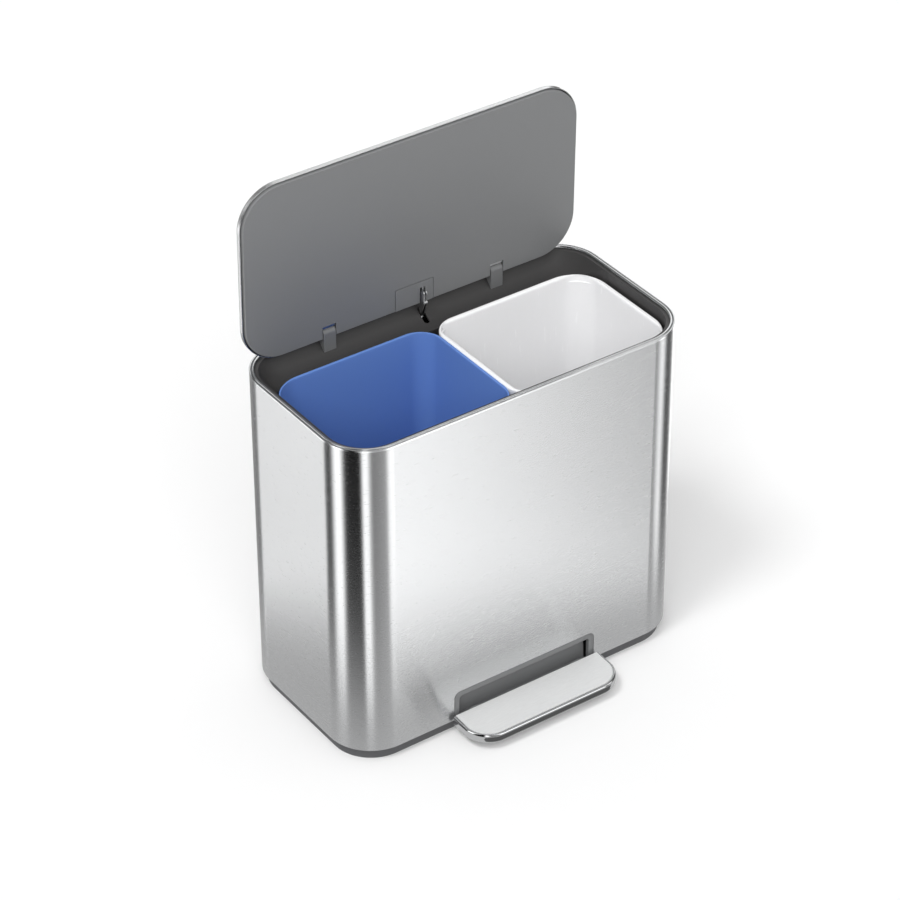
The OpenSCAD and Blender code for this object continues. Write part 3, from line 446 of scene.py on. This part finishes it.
def finishes():
    """Makes every material once and returns them by name. Grains are given by their width in mm: the real
    ones are finer than a tenth of a millimetre, and are drawn as coarse as they need to be to show."""
    look = bpy.context.scene.bin_finish
    level_lines = (0.12, 0.12, 1.0)
    even = (1.0, 1.0, 1.0)
    made = {}
    # Stainless steel, brushed along the sheet: fine level lines that spread its reflections upright, under a
    # clear fingerprint-proof coat that adds a faint clearer reflection of what stands close by
    steel, shader = new_material("brushed_stainless_steel", look.steel, 1.0, 0.28, Anisotropic=1.0,
                                 Coat_Weight=0.5, Coat_Roughness=0.14, Coat_IOR=1.6)
    made["steel"] = grain(steel, shader, 1.0, level_lines, (0.23, 0.28), 0.0, 0.14)
    brush(steel, shader, 0.25)
    # The same steel, blasted and then brushed along the pedal's width: satin, so it looks paler and duller
    tread, shader = new_material("brushed_tread_plate", look.tread, 0.2, 0.45, Anisotropic=0.5)
    made["tread"] = grain(tread, shader, 1.0, (0.12, 1.0, 1.0), (0.42, 0.54), 0.03, 0.16)
    # The same steel, rolled: the rollers leave it smoother, with faint lines along the rim
    rim, shader = new_material("rolled_steel_rim", look.steel, 1.0, 0.2)
    made["rim"] = grain(rim, shader, 2.5, (0.05, 0.05, 1.0), (0.16, 0.26), 0.04, 0.04)
    # Chromium plate, polished: a clean mirror with a faint uneven haze
    chrome, shader = new_material("chromium_plate", look.chrome, 1.0, 0.09)
    made["chrome"] = grain(chrome, shader, 8.333, even, (0.07, 0.13), 0.0)
    # Mild steel, zinc-plated: dull and slightly cloudy
    zinc, shader = new_material("zinc_plated_steel", look.zinc, 1.0, 0.35)
    made["zinc"] = grain(zinc, shader, 3.333, even, (0.24, 0.38), 0.04, 0.10)
    # ABS, moulded against a spark-eroded texture: matt, with a soft broad highlight
    body, shader = new_material("textured_abs", look.body_plastic, 0.0, 0.5, IOR=1.54)
    made["body"] = grain(body, shader, 0.6667, even, (0.42, 0.56), 0.10, 0.06)
    # The same with a finer texture, a little smoother to the eye: round the pedal, and on the base
    trim, shader = new_material("textured_abs_trim", look.trim_plastic, 0.0, 0.45, IOR=1.54)
    made["trim"] = grain(trim, shader, 0.6667, even, (0.38, 0.50), 0.06, 0.06)
    base, shader = new_material("textured_abs_base", look.base_plastic, 0.0, 0.45, IOR=1.54)
    made["base"] = grain(base, shader, 0.6667, even, (0.38, 0.50), 0.06, 0.06)
    # The same under the lid: flat and even, as matt as the frame
    liner, shader = new_material("textured_abs_liner", look.liner_plastic, 0.0, 0.5, IOR=1.54)
    made["liner"] = grain(liner, shader, 0.6667, even, (0.42, 0.56), 0.08, 0.05)
    # Polypropylene, injection-moulded with a matt surface: soft sheen, faint upright flow marks
    blue, shader = new_material("blue_polypropylene", look.blue_plastic, 0.0, 0.5, IOR=1.49,
                                Specular_IOR_Level=0.3)
    made["blue"] = grain(blue, shader, 3.333, (1.0, 1.0, 0.2), (0.45, 0.55), 0.03, 0.03)
    # The same from a polished mould: half gloss, so the upright flow marks show in its highlights
    white, shader = new_material("white_polypropylene", look.white_plastic, 0.0, 0.22, IOR=1.49)
    made["white"] = grain(white, shader, 3.333, (1.0, 1.0, 0.1), (0.18, 0.28), 0.03, 0.02)
    # Acetal, moulded smooth: dark and waxy
    black, shader = new_material("black_acetal", look.black_plastic, 0.0, 0.4, IOR=1.48)
    made["black"] = grain(black, shader, 1.6667, even, (0.34, 0.46), 0.03)
    # Rubber, moulded: matt all over
    rubber, shader = new_material("moulded_rubber", look.rubber, 0.0, 0.8, IOR=1.52)
    made["rubber"] = grain(rubber, shader, 1.25, even, (0.7, 0.9), 0.2)
    return made


# The finish of each solid as it stands, before a modelled piece or a dressed copy takes its place
CAD_FINISH = {
    "steel": ["outer_sleeve", "lid_shell"],
    "tread": ["pedal_tread"],
    "rim": ["rim_ring"],
    "chrome": ["pedal_frame"],
    "zinc": ["damper_mount", "pedal_axle", "axle_clips", "hinge_screws", "floor_screws", "cover_screws",
             "hinge_plate", "hinge_pins", "lid_screws", "push_rod", "lift_arm", "link_pin", "rod_head_pin",
             "rod_foot_pin", "damper_yoke", "damper_piston", "pedal_lever", "pedal_screws"],
    "body": ["inner_frame", "base_tray", "bucket_floor", "pedal_bezel", "rod_cover", "rod_guides",
             "hinge_lugs", "pedal_core"],
    "liner": ["lid_liner", "link_cover"],
    "blue": ["blue_bucket"],
    "white": ["white_bucket"],
    "black": ["damper_cylinder", "damper_cap"],
    "rubber": ["feet"],
}


# What the metal mirrors round the bin: light panels and dark flags, as compass degrees and brightness
PANELS = [
    (-180, 0.72), (-176, 0.30), (-171, 0.0), (-138, 0.0), (-134, 0.28), (-130, 1.0), (-121, 1.0),
    (-115, 0.40), (-109, 0.18), (-88, 0.24), (-79, 0.28), (-73, 0.9), (-57, 1.08), (-54.5, 0.54),
    (-53, 0.27), (-50, 0.16), (-42, 0.26), (-34, 0.75), (-24, 0.75), (-17, 0.06), (12, 0.06),
    (24, 0.8), (64, 0.8), (74, 0.16), (100, 0.16), (112, 0.04), (120, 0.30), (124, 0.80), (130, 1.2),
    (133, 0.0), (154, 0.05), (164, 1.0),
]

# The same by degrees above the horizon: a dark strip lies between the wall's light and the floor's
HEIGHTS = [
    (-90, 0.15), (-58, 0.14), (-44, 0.42), (-33, 1.0), (-20, 1.0), (-13, 0.06), (5, 0.06), (14, 0.7),
    (90, 0.4),
]

# Far lights: setting that gives the strength, compass heading and fall of the rays, and spread, in degrees
LIGHTS = [("key", 11, 61, 16), ("fill", 55, 42, 40)]

# Studio paper, as it lights the bin and as the camera sees it
PAPER, PAPER_SEEN = "#DEDEDE", "#EFEFEF"

# Thickness of the glowing cards that paint the floor's reflection near the bin and a painted shade in front of
# the pedal into the metal, how much darker that painted shade is, and how far it reaches to the front, in
# widths of the pedal's band
CARD, SHADE_CARD = 0.4 * MM, 0.8 * MM
SHADE_DARKER, SHADE_REACH = 6, 8


class BIN_OT_finish(bpy.types.Operator):
    """Gives every solid its finish"""

    bl_idname = "recycling_bin.finish"
    bl_label = "Finish"

    def execute(self, context):
        made = finishes()
        for finish, nodes in CAD_FINISH.items():
            for node in nodes:
                data = frame["nodes"][node].data
                data.materials.clear()
                data.materials.append(made[finish])
        return {"FINISHED"}


def turn_mesh(bm, matrix):
    """Moves the whole bmesh."""
    bmesh.ops.transform(bm, matrix=matrix, verts=bm.verts)


def lid_place():
    """From the closed lid's own axes, which start at the hinge, to the open lid."""
    angle = bpy.context.scene.bin_lid.opening
    return Matrix.Translation(HINGE) @ Matrix.Rotation(-angle, 4, "X")


def pedal_place():
    """From the pedal top's own axes, which start at its rear edge, to its place."""
    size = bpy.context.scene.bin_pedal
    place = Vector((0, SLEEVE_LOW.y - size.gap, size.top))
    return Matrix.Translation(place) @ Matrix.Rotation(size.tilt, 4, "X")


class BIN_OT_body(bpy.types.Operator):
    """Models the steel sleeve with its pedal opening and the rolled rim"""

    bl_idname = "recycling_bin.body"
    bl_label = "Body"

    def sleeve(self, size, width, depth):
        """The sheet steel sleeve, with the pedal opening cut out of its front."""
        low, high, wall, edge = SLEEVE_LOW.z, SLEEVE_HIGH.z, size.wall, size.wall / 4
        bm = bmesh.new()
        profile = [(wall, low), (edge, low), (0, low + edge), (0, high), (wall, high)]
        sweep(bm, width, depth, [size.corner] * 4, profile)
        sleeve = new_object("steel_sleeve", bm, "body", "brushed_stainless_steel")
        bm = bmesh.new()
        half, top, reach = size.opening_half, size.opening_top, 5 * wall
        block(bm, (-half, SLEEVE_LOW.y - reach, -top), (half, SLEEVE_LOW.y + reach, top),
              size.opening_corner, "Y", SOME)
        cut(sleeve, new_object("opening_cutter", bm))
        finish_piece(sleeve, "outer_sleeve")

    def rim(self, size, width, depth):
        """The rolled rim: a thin lip outside, a groove, and a round bead inside."""
        top, seat = RIM_HIGH.z, RIM_LOW.z
        lip = top - size.lip_drop
        bead = (size.rim - size.lip - size.groove) / 2
        outer, inner = size.lip / 3, size.lip / 6
        skin = size.wall * 1.25
        profile = [(0, SLEEVE_HIGH.z)]
        profile += arc((outer, lip - outer), outer, 180, 90)
        profile += arc((size.lip - inner, lip - inner), inner, 90, 0, 3)
        profile += [(size.lip, top - 1.6 * bead)]
        profile += arc((size.rim - bead, top - bead), bead, 180, 0, MANY)
        profile += [(size.rim, seat), (skin, seat), (skin, SLEEVE_HIGH.z)]
        bm = bmesh.new()
        sweep(bm, width, depth, [size.corner] * 4, profile)
        rim = new_object("rolled_rim", bm, "body", "rolled_steel_rim")
        finish_piece(rim, "rim_ring", 0, ROUNDED)

    def execute(self, context):
        size = context.scene.bin_body
        width, depth = SLEEVE_HIGH.x - SLEEVE_LOW.x, SLEEVE_HIGH.y - SLEEVE_LOW.y
        self.sleeve(size, width, depth)
        self.rim(size, width, depth)
        return {"FINISHED"}


class BIN_OT_lid(bpy.types.Operator):
    """Models the lid's steel cap and its plastic liner"""

    bl_idname = "recycling_bin.lid"
    bl_label = "Lid"

    def cut_blocks(self, piece, blocks, radius, steps):
        """Cuts blocks, given by their corners in the closed lid, out of a piece of the open one."""
        bm = bmesh.new()
        for low, high in blocks:
            block(bm, low, high, radius, "Z", steps)
        turn_mesh(bm, lid_place())
        cut(piece, new_object("lid_cutter", bm))

    def cut_notches(self, piece, size, depth):
        """Cuts the two notches in which the hinge lugs stand."""
        half, far = size.notch_width / 2, size.front
        blocks = [((middle - half, -depth, -far), (middle + half, far, far))
                  for middle in (-size.notch_place, size.notch_place)]
        self.cut_blocks(piece, blocks, size.notch_round, FEW)

    def shell(self, size, depth, centre):
        """The dished steel cap."""
        edge, wall, lip = size.edge, size.cap_wall, size.lip
        profile = arc((edge, size.cap - edge), edge - wall, 90, 180)
        profile += [(wall, lip + wall / 4), (wall * 0.8, lip), (wall * 0.2, lip), (0, lip + wall / 4)]
        profile += arc((edge, size.cap - edge), edge, 180, 90, SOME)
        bm = bmesh.new()
        cap(bm, *sweep(bm, size.width, depth, [size.corner] * 4, profile, centre, closed=False))
        turn_mesh(bm, lid_place())
        shell = new_object("lid_cap", bm, "lid", "brushed_stainless_steel")
        self.cut_notches(shell, size, size.notch_depth)
        finish_piece(shell, "lid_shell")

    def liner(self, size, depth, centre, rounding):
        """The plastic liner, with the recess of the linkage cover and the slot for the lift arm."""
        inset, face, thick, edge = size.liner_inset, size.liner_face, size.liner_wall, size.liner_edge
        top = size.cap - size.cap_wall - size.edge
        profile = arc((inset + edge, face + edge), edge, 270, 180, 6)
        profile += [(inset, top), (inset + thick, top), (inset + thick, face + 1.6 * thick)]
        bm = bmesh.new()
        cap(bm, *sweep(bm, size.width, depth, [size.corner] * 4, profile, centre, closed=False))
        turn_mesh(bm, lid_place())
        liner = new_object("lid_liner_moulding", bm, "lid", "textured_abs_liner")
        self.cut_notches(liner, size, size.notch_depth + size.notch_gap)
        half = size.cover_width / 2 + size.cover_gap
        front = size.rear - inset - size.cover_depth - size.cover_gap
        recess = (-half, front, face - depth), (half, depth, face + size.cover_thick)
        self.cut_blocks(liner, [recess], size.cover_round, 6)
        slot = (size.slot_low, -size.slot_depth, face - depth), (size.slot_high, depth, size.cap - size.edge)
        self.cut_blocks(liner, [slot], size.notch_round, FEW)
        finish_piece(liner, "lid_liner", rounding)

    def execute(self, context):
        size = context.scene.bin_lid
        depth = size.front + size.rear
        centre = (0, (size.rear - size.front) / 2)
        self.shell(size, depth, centre)
        self.liner(size, depth, centre, context.scene.bin_body.edge_round)
        return {"FINISHED"}


class BIN_OT_buckets(bpy.types.Operator):
    """Models both buckets with their rims, drafted walls and rounded floors"""

    bl_idname = "recycling_bin.buckets"
    bl_label = "Buckets"

    def bucket(self, node, name, material, rim, rim_round, tight, slot_name):
        """One bucket, its floor outside first, then up the wall, over the rim and down inside."""
        size = bpy.context.scene.bin_buckets
        low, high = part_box(node)
        left = low.x + high.x < 0
        side, middle = size.side_corner, size.middle_corner
        centre = ((low.x + high.x) / 2, (low.y + high.y) / 2)
        width, depth = high.x - low.x, high.y - low.y

        def inset(z):
            return size.taper * (high.z - z) / (high.z - low.z)

        outer = rim - size.wall
        skirt = high.z - size.rim_height
        floor = low.z + size.wall
        bend = size.floor_round
        points = [(outer + bend, low.z), (outer + bend / 3, low.z + bend / 10), (outer, low.z + bend / 2)]
        points += [(outer, skirt), (0, skirt)]
        points += arc((rim_round, high.z - rim_round), rim_round, 180, 90, SOME)
        inside = arc((rim - rim_round, high.z - rim_round), rim_round, 90, 0, SOME)
        points += [(*point, tight * point[0] / rim) for point in inside]
        wall, deep = rim + size.step, size.deep_tight
        points += [(wall, high.z - size.step_drop, tight)]
        points += [(wall, high.z - size.step_drop - size.blend, deep), (wall, floor + bend, deep)]
        points += [(*point, deep) for point in arc((wall + bend, floor + bend), bend, 180, 270, SOME)[1:]]
        bm = bmesh.new()
        radii = (side, middle, middle, side) if left else (middle, side, side, middle)
        points = [(i + inset(z), z, *more) for i, z, *more in points]
        cap(bm, *sweep(bm, width, depth, radii, points, centre, closed=False))
        obj = new_object(name, bm, node.split("_")[0], material)
        finish_piece(obj, node, 0, ROUNDED)

    def execute(self, context):
        size = context.scene.bin_buckets
        self.bucket("blue_bucket", "blue_bucket_moulding", "blue_polypropylene",
                    size.blue_rim, size.blue_round, size.blue_tight, "blue_plastic")
        self.bucket("white_bucket", "white_bucket_moulding", "white_polypropylene",
                    size.white_rim, size.white_round, size.white_tight, "white_plastic")
        return {"FINISHED"}


class BIN_OT_pedal(bpy.types.Operator):
    """Models the pedal's steel tread and its chromed band"""

    bl_idname = "recycling_bin.pedal"
    bl_label = "Pedal"

    def tread(self, size):
        """The plate that the foot presses, with its upper edge broken."""
        corner, depth, edge = size.corner, size.depth, size.tread_thick / 5
        bm = bmesh.new()
        profile = [(0, -size.tread_thick), (0, -edge), (edge / 3, -edge / 3), (edge, 0)]
        cap(bm, *sweep(bm, 2 * size.half_width, depth, (corner, corner, 0, 0), profile, (0, -depth / 2),
                       closed=False))
        turn_mesh(bm, pedal_place())
        tread = new_object("tread_plate", bm, "pedal", "brushed_tread_plate")
        finish_piece(tread, "pedal_tread")

    def band(self, size):
        """The bull-nosed band round the plate's front and sides, parted from it by a groove."""
        width, inner, r, drop = size.band, size.band + size.band_under, size.band_edge, size.band_drop
        groove = size.band_groove
        profile = [(inner, -size.tread_thick), (width, -size.tread_thick), (width, -drop - groove)]
        profile += [(width - groove / 3, -drop - groove / 3), (width - groove, -drop)]
        profile += arc((r, -drop - r), r, 90, 180, SOME)
        profile += arc((r, r - size.band_height), r, 180, 270, SOME)
        profile += [(inner, -size.band_height)]
        bm = bmesh.new()
        depth, corner = size.depth + width, size.corner + width
        sweep(bm, 2 * (size.half_width + width), depth, (corner, corner, 0, 0), profile, (0, -depth / 2),
              rear=False)
        bmesh.ops.remove_doubles(bm, verts=bm.verts, dist=MERGE)
        bmesh.ops.holes_fill(bm, edges=[e for e in bm.edges if e.is_boundary], sides=0)
        turn_mesh(bm, pedal_place())
        band = new_object("chrome_band", bm, "pedal", "chromium_plate")
        finish_piece(band, "pedal_frame", 0, ROUNDED)

    def execute(self, context):
        size = context.scene.bin_pedal
        self.tread(size)
        self.band(size)
        return {"FINISHED"}


# Solids that are dressed as they are: node, finish, body, slot, rounding as a share of the edge radius
DRESSED = [
    ("inner_frame", "textured_abs", "body", "grey_plastic", 1.0),
    ("base_tray", "textured_abs_base", "body", "grey_plastic", 1.0),
    ("bucket_floor", "textured_abs", "body", "grey_plastic", 1.0),
    ("pedal_bezel", "textured_abs_trim", "body", "grey_plastic", 1.2),
    ("rod_cover", "textured_abs", "body", "grey_plastic", 1.0),
    ("hinge_lugs", "textured_abs_trim", "body", "grey_plastic", 1.5),
    ("link_cover", "textured_abs_liner", "lid", "liner_plastic", 0.6),
    ("hinge_plate", "zinc_plated_steel", "lid", "plain_steel", 0.5),
    ("lift_arm", "zinc_plated_steel", "rod", "plain_steel", 0.6),
    ("link_pin", "zinc_plated_steel", "rod", "plain_steel", 0.5),
    ("rod_head_pin", "zinc_plated_steel", "rod", "plain_steel", 0.5),
    ("push_rod", "zinc_plated_steel", "rod", "plain_steel", 0.8),
    ("pedal_core", "textured_abs_trim", "pedal", "grey_plastic", 1.0),
    ("pedal_lever", "zinc_plated_steel", "pedal", "plain_steel", 0.6),
    ("damper_cylinder", "black_acetal", "body", "black_plastic", 1.0),
    ("feet", "moulded_rubber", "body", "foot_rubber", 1.0),
]


class BIN_OT_dress(bpy.types.Operator):
    """Rounds the edges of the smaller solids on merged copies of them"""

    bl_idname = "recycling_bin.dress"
    bl_label = "Small parts"

    def arm_slot(self, size):
        """The front end of the slot in the ledge, through which the lift arm comes."""
        bm = bmesh.new()
        half = size.slot_width / 2
        block(bm, (size.slot_place - half, size.slot_front, RIM_LOW.z - size.slot_low),
              (size.slot_place + half, size.slot_front + size.slot_reach, RIM_HIGH.z), 0.99 * half, "Z", SOME)
        return new_object("arm_slot_cutter", bm)

    def execute(self, context):
        width = context.scene.bin_body.edge_round
        for node, finish, body, slot_name, share in DRESSED:
            source = frame["nodes"][node]
            bm = bmesh.new()
            bm.from_mesh(source.data)
            turn_mesh(bm, source.matrix_world)
            bmesh.ops.remove_doubles(bm, verts=bm.verts, dist=MERGE)
            bmesh.ops.dissolve_limit(bm, angle_limit=math.radians(0.5), verts=bm.verts, edges=bm.edges)
            obj = new_object(node + "_moulding", bm, body, finish)
            if node == "inner_frame":
                cut(obj, self.arm_slot(context.scene.bin_body))
            finish_piece(obj, node, width * share)
        return {"FINISHED"}


def distant_light(name, heading, slope, spread, strength):
    """A large far light. Its rays travel towards the compass heading and fall by the slope, in degrees."""
    data = bpy.data.lights.new(name, "SUN")
    data.angle = math.radians(spread)
    data.energy = strength
    lamp = bpy.data.objects.new(name, data)
    bpy.context.collection.objects.link(lamp)
    turn, fall = math.radians(heading), math.radians(slope)
    ray = Vector((math.cos(turn) * math.cos(fall), math.sin(turn) * math.cos(fall), -math.sin(fall)))
    lamp.location = -3 * ray
    lamp.rotation_mode = "QUATERNION"
    lamp.rotation_quaternion = ray.to_track_quat("-Z", "Y")
    lamp.visible_glossy = False


class BIN_OT_stage(bpy.types.Operator):
    """Sets the camera, the floor, the light and the background"""

    bl_idname = "recycling_bin.stage"
    bl_label = "Stage"

    def ramp(self, tree, value, stops):
        """Turns a value into a grey by a list of (place, brightness)."""
        node = add_node(tree, "ShaderNodeValToRGB", links=[("Fac", value)])
        for index, (place, shine) in enumerate(stops):
            stop = node.color_ramp.elements[index] if index < 2 else node.color_ramp.elements.new(place)
            stop.position = place
            stop.color = (shine, shine, shine, 1.0)
        return node.outputs["Color"]

    def surroundings(self, scene):
        """The world: even light for all, panels and flags for the metal, and white behind for the camera."""
        world = bpy.data.worlds.new("studio")
        scene.world = world
        world.use_nodes = True
        tree = world.node_tree
        tree.nodes.clear()
        path = add_node(tree, "ShaderNodeLightPath")
        way = add_node(tree, "ShaderNodeTexCoord").outputs["Generated"]
        compass = add_node(tree, "ShaderNodeTexGradient", links=[("Vector", way)], gradient_type="RADIAL")
        panels = self.ramp(tree, compass.outputs["Fac"],
                           [((turn + 180) / 360, shine) for turn, shine in PANELS])
        height = add_node(tree, "ShaderNodeSeparateXYZ", links=[("Vector", way)]).outputs["Z"]
        lift = add_node(tree, "ShaderNodeMapRange", links=[("Value", height)], From_Min=-1.0)
        slopes = self.ramp(tree, lift.outputs[0],
                           [(0.5 + math.sin(math.radians(rise)) / 2, shine) for rise, shine in HEIGHTS])
        both = add_node(tree, "ShaderNodeMix", data_type="RGBA", blend_type="MULTIPLY")
        both.inputs["Factor"].default_value = 1.0
        tree.links.new(panels, both.inputs[6])
        tree.links.new(slopes, both.inputs[7])
        seen = add_node(tree, "ShaderNodeBackground", links=[("Color", both.outputs[2])],
                        Strength=scene.bin_stage.panel)
        soft = add_node(tree, "ShaderNodeBackground", Strength=scene.bin_stage.ambient)
        white = add_node(tree, "ShaderNodeBackground", Color=linear("#FFFFFF"), Strength=1.0)
        clear = add_node(tree, "ShaderNodeMath", operation="ADD", links=[
            (0, path.outputs["Is Camera Ray"]), (1, path.outputs["Is Transmission Ray"])])
        shine = add_node(tree, "ShaderNodeMixShader", links=[
            ("Fac", path.outputs["Is Glossy Ray"]), (1, soft.outputs[0]), (2, seen.outputs[0])])
        mix = add_node(tree, "ShaderNodeMixShader", links=[
            ("Fac", clear.outputs[0]), (1, shine.outputs[0]), (2, white.outputs[0])])
        add_node(tree, "ShaderNodeOutputWorld", links=[("Surface", mix.outputs[0])])

    def floor(self, setting):
        """The paper floor, which keeps the bin's shadow."""
        mesh = bpy.data.meshes.new("floor")
        bm = bmesh.new()
        bmesh.ops.create_grid(bm, x_segments=1, y_segments=1, size=setting.floor_half)
        bm.to_mesh(mesh)
        bm.free()
        floor = bpy.data.objects.new("floor", mesh)
        bpy.context.collection.objects.link(floor)
        floor.visible_glossy = False
        # Paper, matt and uncoated: the camera sees it nearly white, and the light that it sends back is plainer
        paper, shader = new_material("studio_paper", linear(PAPER), 0.0, 0.9)
        tree = paper.node_tree
        camera = add_node(tree, "ShaderNodeLightPath").outputs["Is Camera Ray"]
        tone = add_node(tree, "ShaderNodeMix", links=[("Factor", camera)], data_type="RGBA")
        tone.inputs[6].default_value = linear(PAPER)
        tone.inputs[7].default_value = linear(PAPER_SEEN)
        tree.links.new(tone.outputs[2], shader.inputs["Base Color"])
        lift = add_node(tree, "ShaderNodeMath", operation="MULTIPLY", links=[(0, camera)])
        lift.inputs[1].default_value = setting.paper
        shader.inputs["Emission Color"].default_value = linear("#FFFFFF")
        tree.links.new(lift.outputs[0], shader.inputs["Emission Strength"])
        mesh.materials.append(paper)

    def painted_reflection(self, name, low, high, height, strength, fade=0):
        """A glowing card on the floor that only the metal mirrors: a painted reflection of the floor, kept dim
        as a painted shade of the bin close to it. With fade, it fades away towards its edge."""
        bm = bmesh.new()
        block(bm, (*low, 0), (*high, height))
        near = new_object(name, bm)
        # Painted reflection: a black card that glows, seen by glossy rays only, so the metal mirrors a painted
        # floor and its shade
        shade, shader = new_material(name, linear("#000000"), 0.0, 1.0)
        shader.inputs["Emission Color"].default_value = linear("#FFFFFF")
        shader.inputs["Emission Strength"].default_value = strength
        near.data.materials.append(shade)
        near.visible_camera = near.visible_diffuse = near.visible_transmission = near.visible_shadow = False
        if fade:
            tree = shade.node_tree
            place = add_node(tree, "ShaderNodeTexCoord").outputs["Object"]
            scale = add_node(tree, "ShaderNodeMapping", links=[("Vector", place)],
                             Scale=(1 / high[0], 1 / high[1], 0))
            dome = add_node(tree, "ShaderNodeTexGradient", links=[("Vector", scale.outputs[0])],
                            gradient_type="SPHERICAL")
            share = add_node(tree, "ShaderNodeMapRange", links=[("Value", dome.outputs["Fac"])],
                             From_Max=fade)
            clear = add_node(tree, "ShaderNodeBsdfTransparent")
            mix = add_node(tree, "ShaderNodeMixShader", links=[
                (0, share.outputs[0]), (1, clear.outputs[0]), (2, shader.outputs[0])])
            tree.links.new(mix.outputs[0], tree.nodes["Material Output"].inputs["Surface"])

    def camera(self, setting):
        """The camera, at the photograph's angle."""
        side, rise = setting.azimuth, setting.elevation
        back = Vector((math.sin(side) * math.cos(rise), -math.cos(side) * math.cos(rise), math.sin(rise)))
        data = bpy.data.cameras.new("camera")
        data.sensor_width = 36.0
        data.lens = setting.lens
        data.clip_start, data.clip_end = 0.1, 50.0
        camera = bpy.data.objects.new("camera", data)
        bpy.context.collection.objects.link(camera)
        camera.location = Vector(setting.target) + back * setting.distance
        camera.rotation_mode = "QUATERNION"
        turn = (-back).to_track_quat("-Z", "Y")
        camera.rotation_quaternion = turn @ Matrix.Rotation(setting.roll, 3, "Z").to_quaternion()
        return camera

    def execute(self, context):
        scene = context.scene
        setting, pedal = scene.bin_stage, scene.bin_pedal
        scene.camera = self.camera(setting)
        self.floor(setting)
        reach = setting.painted_reflection_reach
        # Painted reflection of the floor near the bin, dimmer than the panels, which darkens the steel towards
        # the bottom
        self.painted_reflection("floor_bounce", [c - reach for c in SLEEVE_LOW.xy], [c + reach for c in SLEEVE_HIGH.xy],
                    CARD, setting.painted_reflection, setting.painted_reflection_fade)
        # Painted shade on the floor in front of the pedal: a dim glowing card that the chrome band and the
        # steel mirror
        half = pedal.half_width + 2 * pedal.band
        front = SLEEVE_LOW.y - pedal.gap - pedal.depth - 3 * pedal.band
        self.painted_reflection("pedal_shade", (-half, front - SHADE_REACH * pedal.band), (half, front + pedal.band),
                    SHADE_CARD, setting.painted_reflection / SHADE_DARKER)
        for name, heading, slope, spread in LIGHTS:
            distant_light(name + "_light", heading, slope, spread, getattr(setting, name))
        self.surroundings(scene)
        scene.view_settings.view_transform = "Standard"
        return {"FINISHED"}


class BIN_PT_panel(bpy.types.Panel):
    """Lists the bin's settings and operators"""

    bl_idname = "BIN_PT_panel"
    bl_label = "Recycling Bin"
    bl_space_type = "VIEW_3D"
    bl_region_type = "UI"
    bl_category = "Recycling Bin"

    def draw(self, context):
        layout = self.layout
        for key, cls in SETTINGS.items():
            group = getattr(context.scene, key)
            box = layout.box()
            box.label(text=cls.__doc__)
            for name in cls.__annotations__:
                box.prop(group, name)
        for operator in OPERATORS:
            layout.operator(operator.bl_idname)


SETTINGS = {
    "bin_finish": FinishSettings, "bin_shape": ShapeSettings, "bin_body": BodySettings,
    "bin_lid": LidSettings, "bin_buckets": BucketSettings, "bin_pedal": PedalSettings,
    "bin_stage": StageSettings,
}
OPERATORS = [BIN_OT_finish, BIN_OT_body, BIN_OT_lid, BIN_OT_buckets, BIN_OT_pedal, BIN_OT_dress, BIN_OT_stage]


def register():
    for cls in [*SETTINGS.values(), *OPERATORS, BIN_PT_panel]:
        bpy.utils.register_class(cls)
    for name, cls in SETTINGS.items():
        setattr(bpy.types.Scene, name, PointerProperty(type=cls))


def unregister():
    for name in SETTINGS:
        delattr(bpy.types.Scene, name)
    for cls in reversed([*SETTINGS.values(), *OPERATORS, BIN_PT_panel]):
        bpy.utils.unregister_class(cls)


def main():
    register()
    for operator in OPERATORS:
        group, name = operator.bl_idname.split(".")
        getattr(getattr(bpy.ops, group), name)()


if __name__ == "__main__":
    main()
